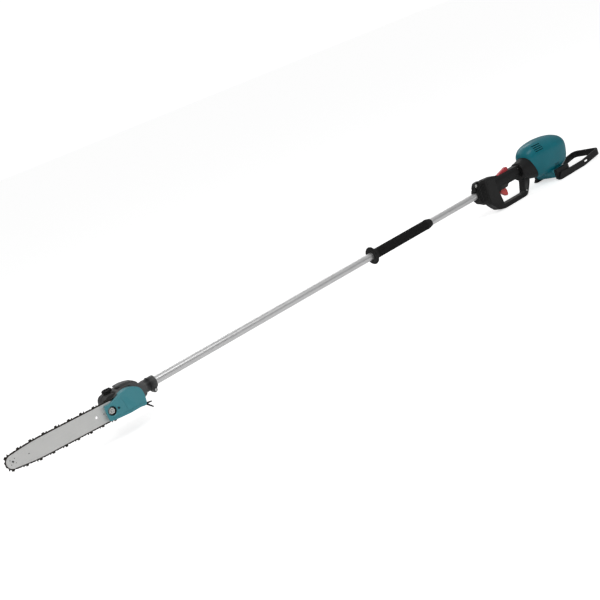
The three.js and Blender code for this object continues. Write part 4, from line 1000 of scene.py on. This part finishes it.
# %% Boot and harness eye
BOOT_BACK = HANDLE_FRONT - CLEAR
BOOT_HALF = 17
boot_side = rounded([(BOOT_BACK, 44.5), (BOOT_BACK - 24, 43), (BOOT_BACK - 43, 24), (BOOT_BACK - 50, 10),
                     (BOOT_BACK - 52, -14), (BOOT_BACK - 41, -33), (BOOT_BACK - 24, -40),
                     (BOOT_BACK, -54)], 11, 8)
boot_cuts = [rod("x", TUBE_RADIUS + CLEAR, -300, -150),
             box(-262, BOOT_BACK - 22, -10.2, 10.2, TUBE_RADIUS + 0.5, 60)]
boot = piece("boot", slab(boot_side, -BOOT_HALF, BOOT_HALF), soft_rubber, ["front_boot"],
             at_rear,
             holes=boot_cuts, edge=3.2, segments=5)
grooves = []
for x in range(-249, -208, 7):
    for side in (-1, 1):
        near, far = sorted((side * (BOOT_HALF - 1.5), side * (BOOT_HALF + 2)))
        grooves.append(slab(rounded([(x, 36), (x + 3, 36), (x + 1, -31), (x - 2, -31)], 1.4, 3), near, far))
carve(boot, [together(*grooves)], at_rear)
soften(boot, 0.35, 2, 40)
EYE = (-242, 0, 33)
bracket_side = rounded([(-229, 47), (-244, 45), (-255, 31), (-256, 15), (-228, 14)], 4.5)
piece("harness_bracket", slab(bracket_side, -9, 9), black_moulding, ["hanger_bracket"],
      at_rear,
      holes=[rod("y", 6.3, -20, 20, EYE)], edge=1.6, segments=4)
eyelet = turned("y", [(4.4, -9.4), (4.9, -9.6), (7.6, -9.6), (7.9, -9.3), (6.0, -9.05), (6.0, 9.05),
                      (7.9, 9.3), (7.6, 9.6),
                      (4.9, 9.6), (4.4, 9.4)], EYE, 64)
piece("harness_eyelet", eyelet, bright_zinc, ["hanger_eyelet"], at_rear, edge=0)
print("boot and eye")

# %% [markdown]
# The trigger is a thick coral blade below the beam. The crimson lever on top has to be pressed by the palm
# before the trigger will move. Both turn on pins, so each rides on a body of its own.

# %% Trigger and lock lever
trigger_side = rounded([(-119, -23), (-131, -30), (-129, -36), (-120, -46), (-105, -57), (-97, -54),
                        (-96, -36),
                        (-105, -23), (-107, -15.5), (-116, -15.5)], 4)
piece("trigger_blade_skin", slab(trigger_side, -6, 6), coral_moulding, ["trigger"], at_rear,
      "trigger_blade", [rod("y", 2.3, -20, 20, TRIGGER_PIN, 24)], edge=1.6, segments=4)
lever_side = rounded([(-118, 17), (-118.5, 28), (-112, 32), (-68, 43), (-60, 40), (-61, 24),
                      (-104, 16.5)], 4)
lever = piece("lever_skin", slab(lever_side, -6, 6), red_moulding, ["lock_lever"], at_rear,
              "lockout",
              [rod("y", 2.3, -20, 20, LEVER_PIN, 24)], edge=1.6, segments=4)
ridges = [slab([(-100 + 7 * k, 35.0 + 1.75 * k), (-98.4 + 7 * k, 35.4 + 1.75 * k),
                (-98.2 + 7 * k, 45 + 1.75 * k),
                (-100.2 + 7 * k, 45 + 1.75 * k)], -3.8, 3.8) for k in range(5)]
carve(lever, ridges, at_rear)
print("trigger and lever")

# %% [markdown]
# ## Motor bell and housing
# Behind the handle a black bell widens into the teal motor housing. The housing is two thin shells with
# cooling slots high in front and low at the side, a foot below, and an open bay behind for the battery. The
# bell's rim overlaps the shells with a fine shadow line.

# %% Bell
bell = piece("bell", bell_shape, black_moulding, ["motor_bell"], at_rear,
             holes=[rod("x", TUBE_RADIUS + CLEAR, -20, 3), rod("x", 15, 2, 70)], edge=1.0)
print("bell corners", len(bell.data.vertices))

# %% Housing shells
HOUSING = [(47, -0.39, -5, 47.4, 38), (58, -0.36, 2, 57, 44), (80, -0.27, 8, 66, 50),
           (112, -0.13, 10, 70, 55),
           (148, 0, 8, 72, 57), (184, 0.15, 5, 69, 57), (214, 0.25, 0, 61, 53), (230, 0.3, -3, 52, 48)]
SHELL = 2.8
FOOT_BOTTOM = -85
BAY = 208
hollow = [list(section) for section in HOUSING]
for section in hollow:
    section[3] -= SHELL
    section[4] -= SHELL
hollow[0][0] += SHELL
hollow[-1][0] -= SHELL
FOOT_HALF = 44
foot_side = rounded([(122, -50), (132, FOOT_BOTTOM + 8), (140, FOOT_BOTTOM), (186, FOOT_BOTTOM),
                     (190, -50)], 9)
upper_slots = [slab(rounded([(66, 45 + 7 * k), (106, 45 + 7 * k), (106, 48.2 + 7 * k),
                             (66, 48.2 + 7 * k)], 1.5, 3),
                    -100, 100) for k in range(4)]
lower_slots = [slab(rounded([(141, -42 + 5 * k), (167, -42 + 5 * k), (167, -39.6 + 5 * k),
                             (141, -39.6 + 5 * k)], 1.1, 3),
                    -100, 100) for k in range(3)]
housing_cuts = [loft(hollow, 2.7, 72, 6), box(143, 181, 5 - FOOT_HALF, FOOT_HALF - 5, FOOT_BOTTOM + SHELL,
                                              -55), rod("x", 26, 0, 75),
                box(BAY + CLEAR, 300, -33, 33, -40, 40), together(*upper_slots, *lower_slots)]
housing = piece("housing", loft(HOUSING, 2.7, 96, 8), teal_shell,
                ["housing_left", "housing_right"],
                at_rear, adds=[slab(foot_side, -FOOT_HALF, FOOT_HALF)], holes=housing_cuts, edge=0.9,
                segments=3)
carve(housing, [box(0, 400, -0.22, 0.22, -150, 120)], at_rear)
soften(housing, 0, 3, 32)
print("housing corners", len(housing.data.vertices))

# %% [markdown]
# ## Battery bay
# The bay's floor is a black plate with two rails that a pack slides on, and a block of contacts between
# them. The contacts are thin metal blades.

# %% Battery plate and contacts
rails = []
for side in (-1, 1):
    y = sorted((side * 25.5, side * 30.5))
    lip = sorted((side * 21.5, side * 30.5))
    rails += [box(BAY - 1, BAY + 9, *y, -38, 32), box(BAY + 6, BAY + 9, *lip, -38, 32)]
piece("bay_plate", box(BAY - 5, BAY, -32.7, 32.7, -39.7, 39.7), black_moulding,
      ["battery_plate"],
      at_rear, adds=rails, edge=0.6)
piece("contact_block", box(BAY + 0.3, BAY + 14, -15, 15, -10, 22), black_moulding,
      ["terminal_block"],
      at_rear, holes=[box(BAY + 6, BAY + 20, y - 1.6, y + 1.6, -14, 17) for y in (-8, 0, 8)], edge=0.7)
piece("contact_blades", together(*[box(BAY + 2, BAY + 12, y - 0.5, y + 0.5, -26, 12) for y in (-8, 8)]),
      bright_zinc,
      place=at_rear, edge=0.15)
print("battery bay")

# %% [markdown]
# ## Rear guard
# The guard is a flat black loop that keeps the battery off the ground. Two arms come from under the motor,
# and the loop closes them with a rear bar. It is level in front and climbs towards its rear bar.

# %% Guard loop and arms
GUARD_START, GUARD_BEND, GUARD_END = 218, 288, 400
GUARD_HALF, GUARD_THICK, GUARD_RISE = 64, 9, 12.5
GUARD_TOP, GUARD_CORNER = -69.5, 24
guard_side = [(GUARD_START, HANDLE_BOTTOM), (GUARD_BEND, HANDLE_BOTTOM),
              (GUARD_END + 1, HANDLE_BOTTOM + GUARD_RISE),
              (GUARD_END + 1, GUARD_TOP + GUARD_RISE), (GUARD_BEND, GUARD_TOP), (GUARD_START, GUARD_TOP)]


def guard_plan(inset, low, high):
    side, end = GUARD_HALF - inset, GUARD_END - inset
    corners = [(GUARD_START - 60, side), (end, side), (end, -side), (GUARD_START - 60, -side)]
    return slab(rounded(corners, GUARD_CORNER - inset, 12), low, high, "z")


guard = solid_object("guard", guard_plan(0, -100, -50), at_rear)
carve(guard, [guard_plan(GUARD_THICK, -105, -45), slab(rounded([(294, -83), (318, -83), (318, -76), (294, -76)], 3, 5),
                                                       -100, 100)], at_rear)
carve(guard, [slab(guard_side, -70, 70)], at_rear, "INTERSECT")
soften(guard, 2.2, 4, 40)
guard.data.materials.clear()
guard.data.materials.append(black_moulding)
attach(guard, "saw")
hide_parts("rear_guard")
arm_room = loft([(x, lean, mid, tall + CLEAR, wide + CLEAR) for x, lean, mid, tall, wide in HOUSING], 2.7,
                72, 6)
for side, name in ((-1, "left"), (1, "right")):
    outer = sorted((side * (GUARD_HALF - GUARD_THICK), side * GUARD_HALF))
    inner = sorted((side * (FOOT_HALF + CLEAR), side * (GUARD_HALF - 6)))
    arm_side = rounded([(148, GUARD_TOP + 2), (127, HANDLE_BOTTOM + 3), (140, HANDLE_BOTTOM),
                        (GUARD_START - CLEAR, HANDLE_BOTTOM), (GUARD_START - CLEAR, GUARD_TOP)], 4)
    shoe = slab(rounded([(132, -90), (205, -90), (205, -51.5), (132, -51.5)], 4), *inner)
    piece(f"guard_arm_{name}_skin", slab(arm_side, *outer), black_moulding,
          [f"guard_arm_{name}"],
          at_rear, adds=[shoe], holes=[arm_room], edge=1.5, segments=3)
print("guard")

# %% [markdown]
# ## What stays as it was made
# Gears, bearings, shafts, springs and the motor's inside are plain in the real tool as well, so their solids
# are kept. Each gets the finish of its material.

# %% Finishes for the remaining solids
by_slot = {"black_plastic": black_moulding, "plain_steel": bright_zinc, "dark_steel": dark_metal,
           "copper_winding": copper_wire, "circuit_board": board_lacquer, "teal_plastic": teal_shell}
slot_of = {part["node"]: part["material_slot"] for part in frame["record"]["subparts"]}
dressed = 0
for name, node in frame["nodes"].items():
    if slot_of[name] in by_slot:
        node.data.materials.clear()
        node.data.materials.append(by_slot[slot_of[name]])
        dressed += 1
print("finishes on", dressed, "solids")
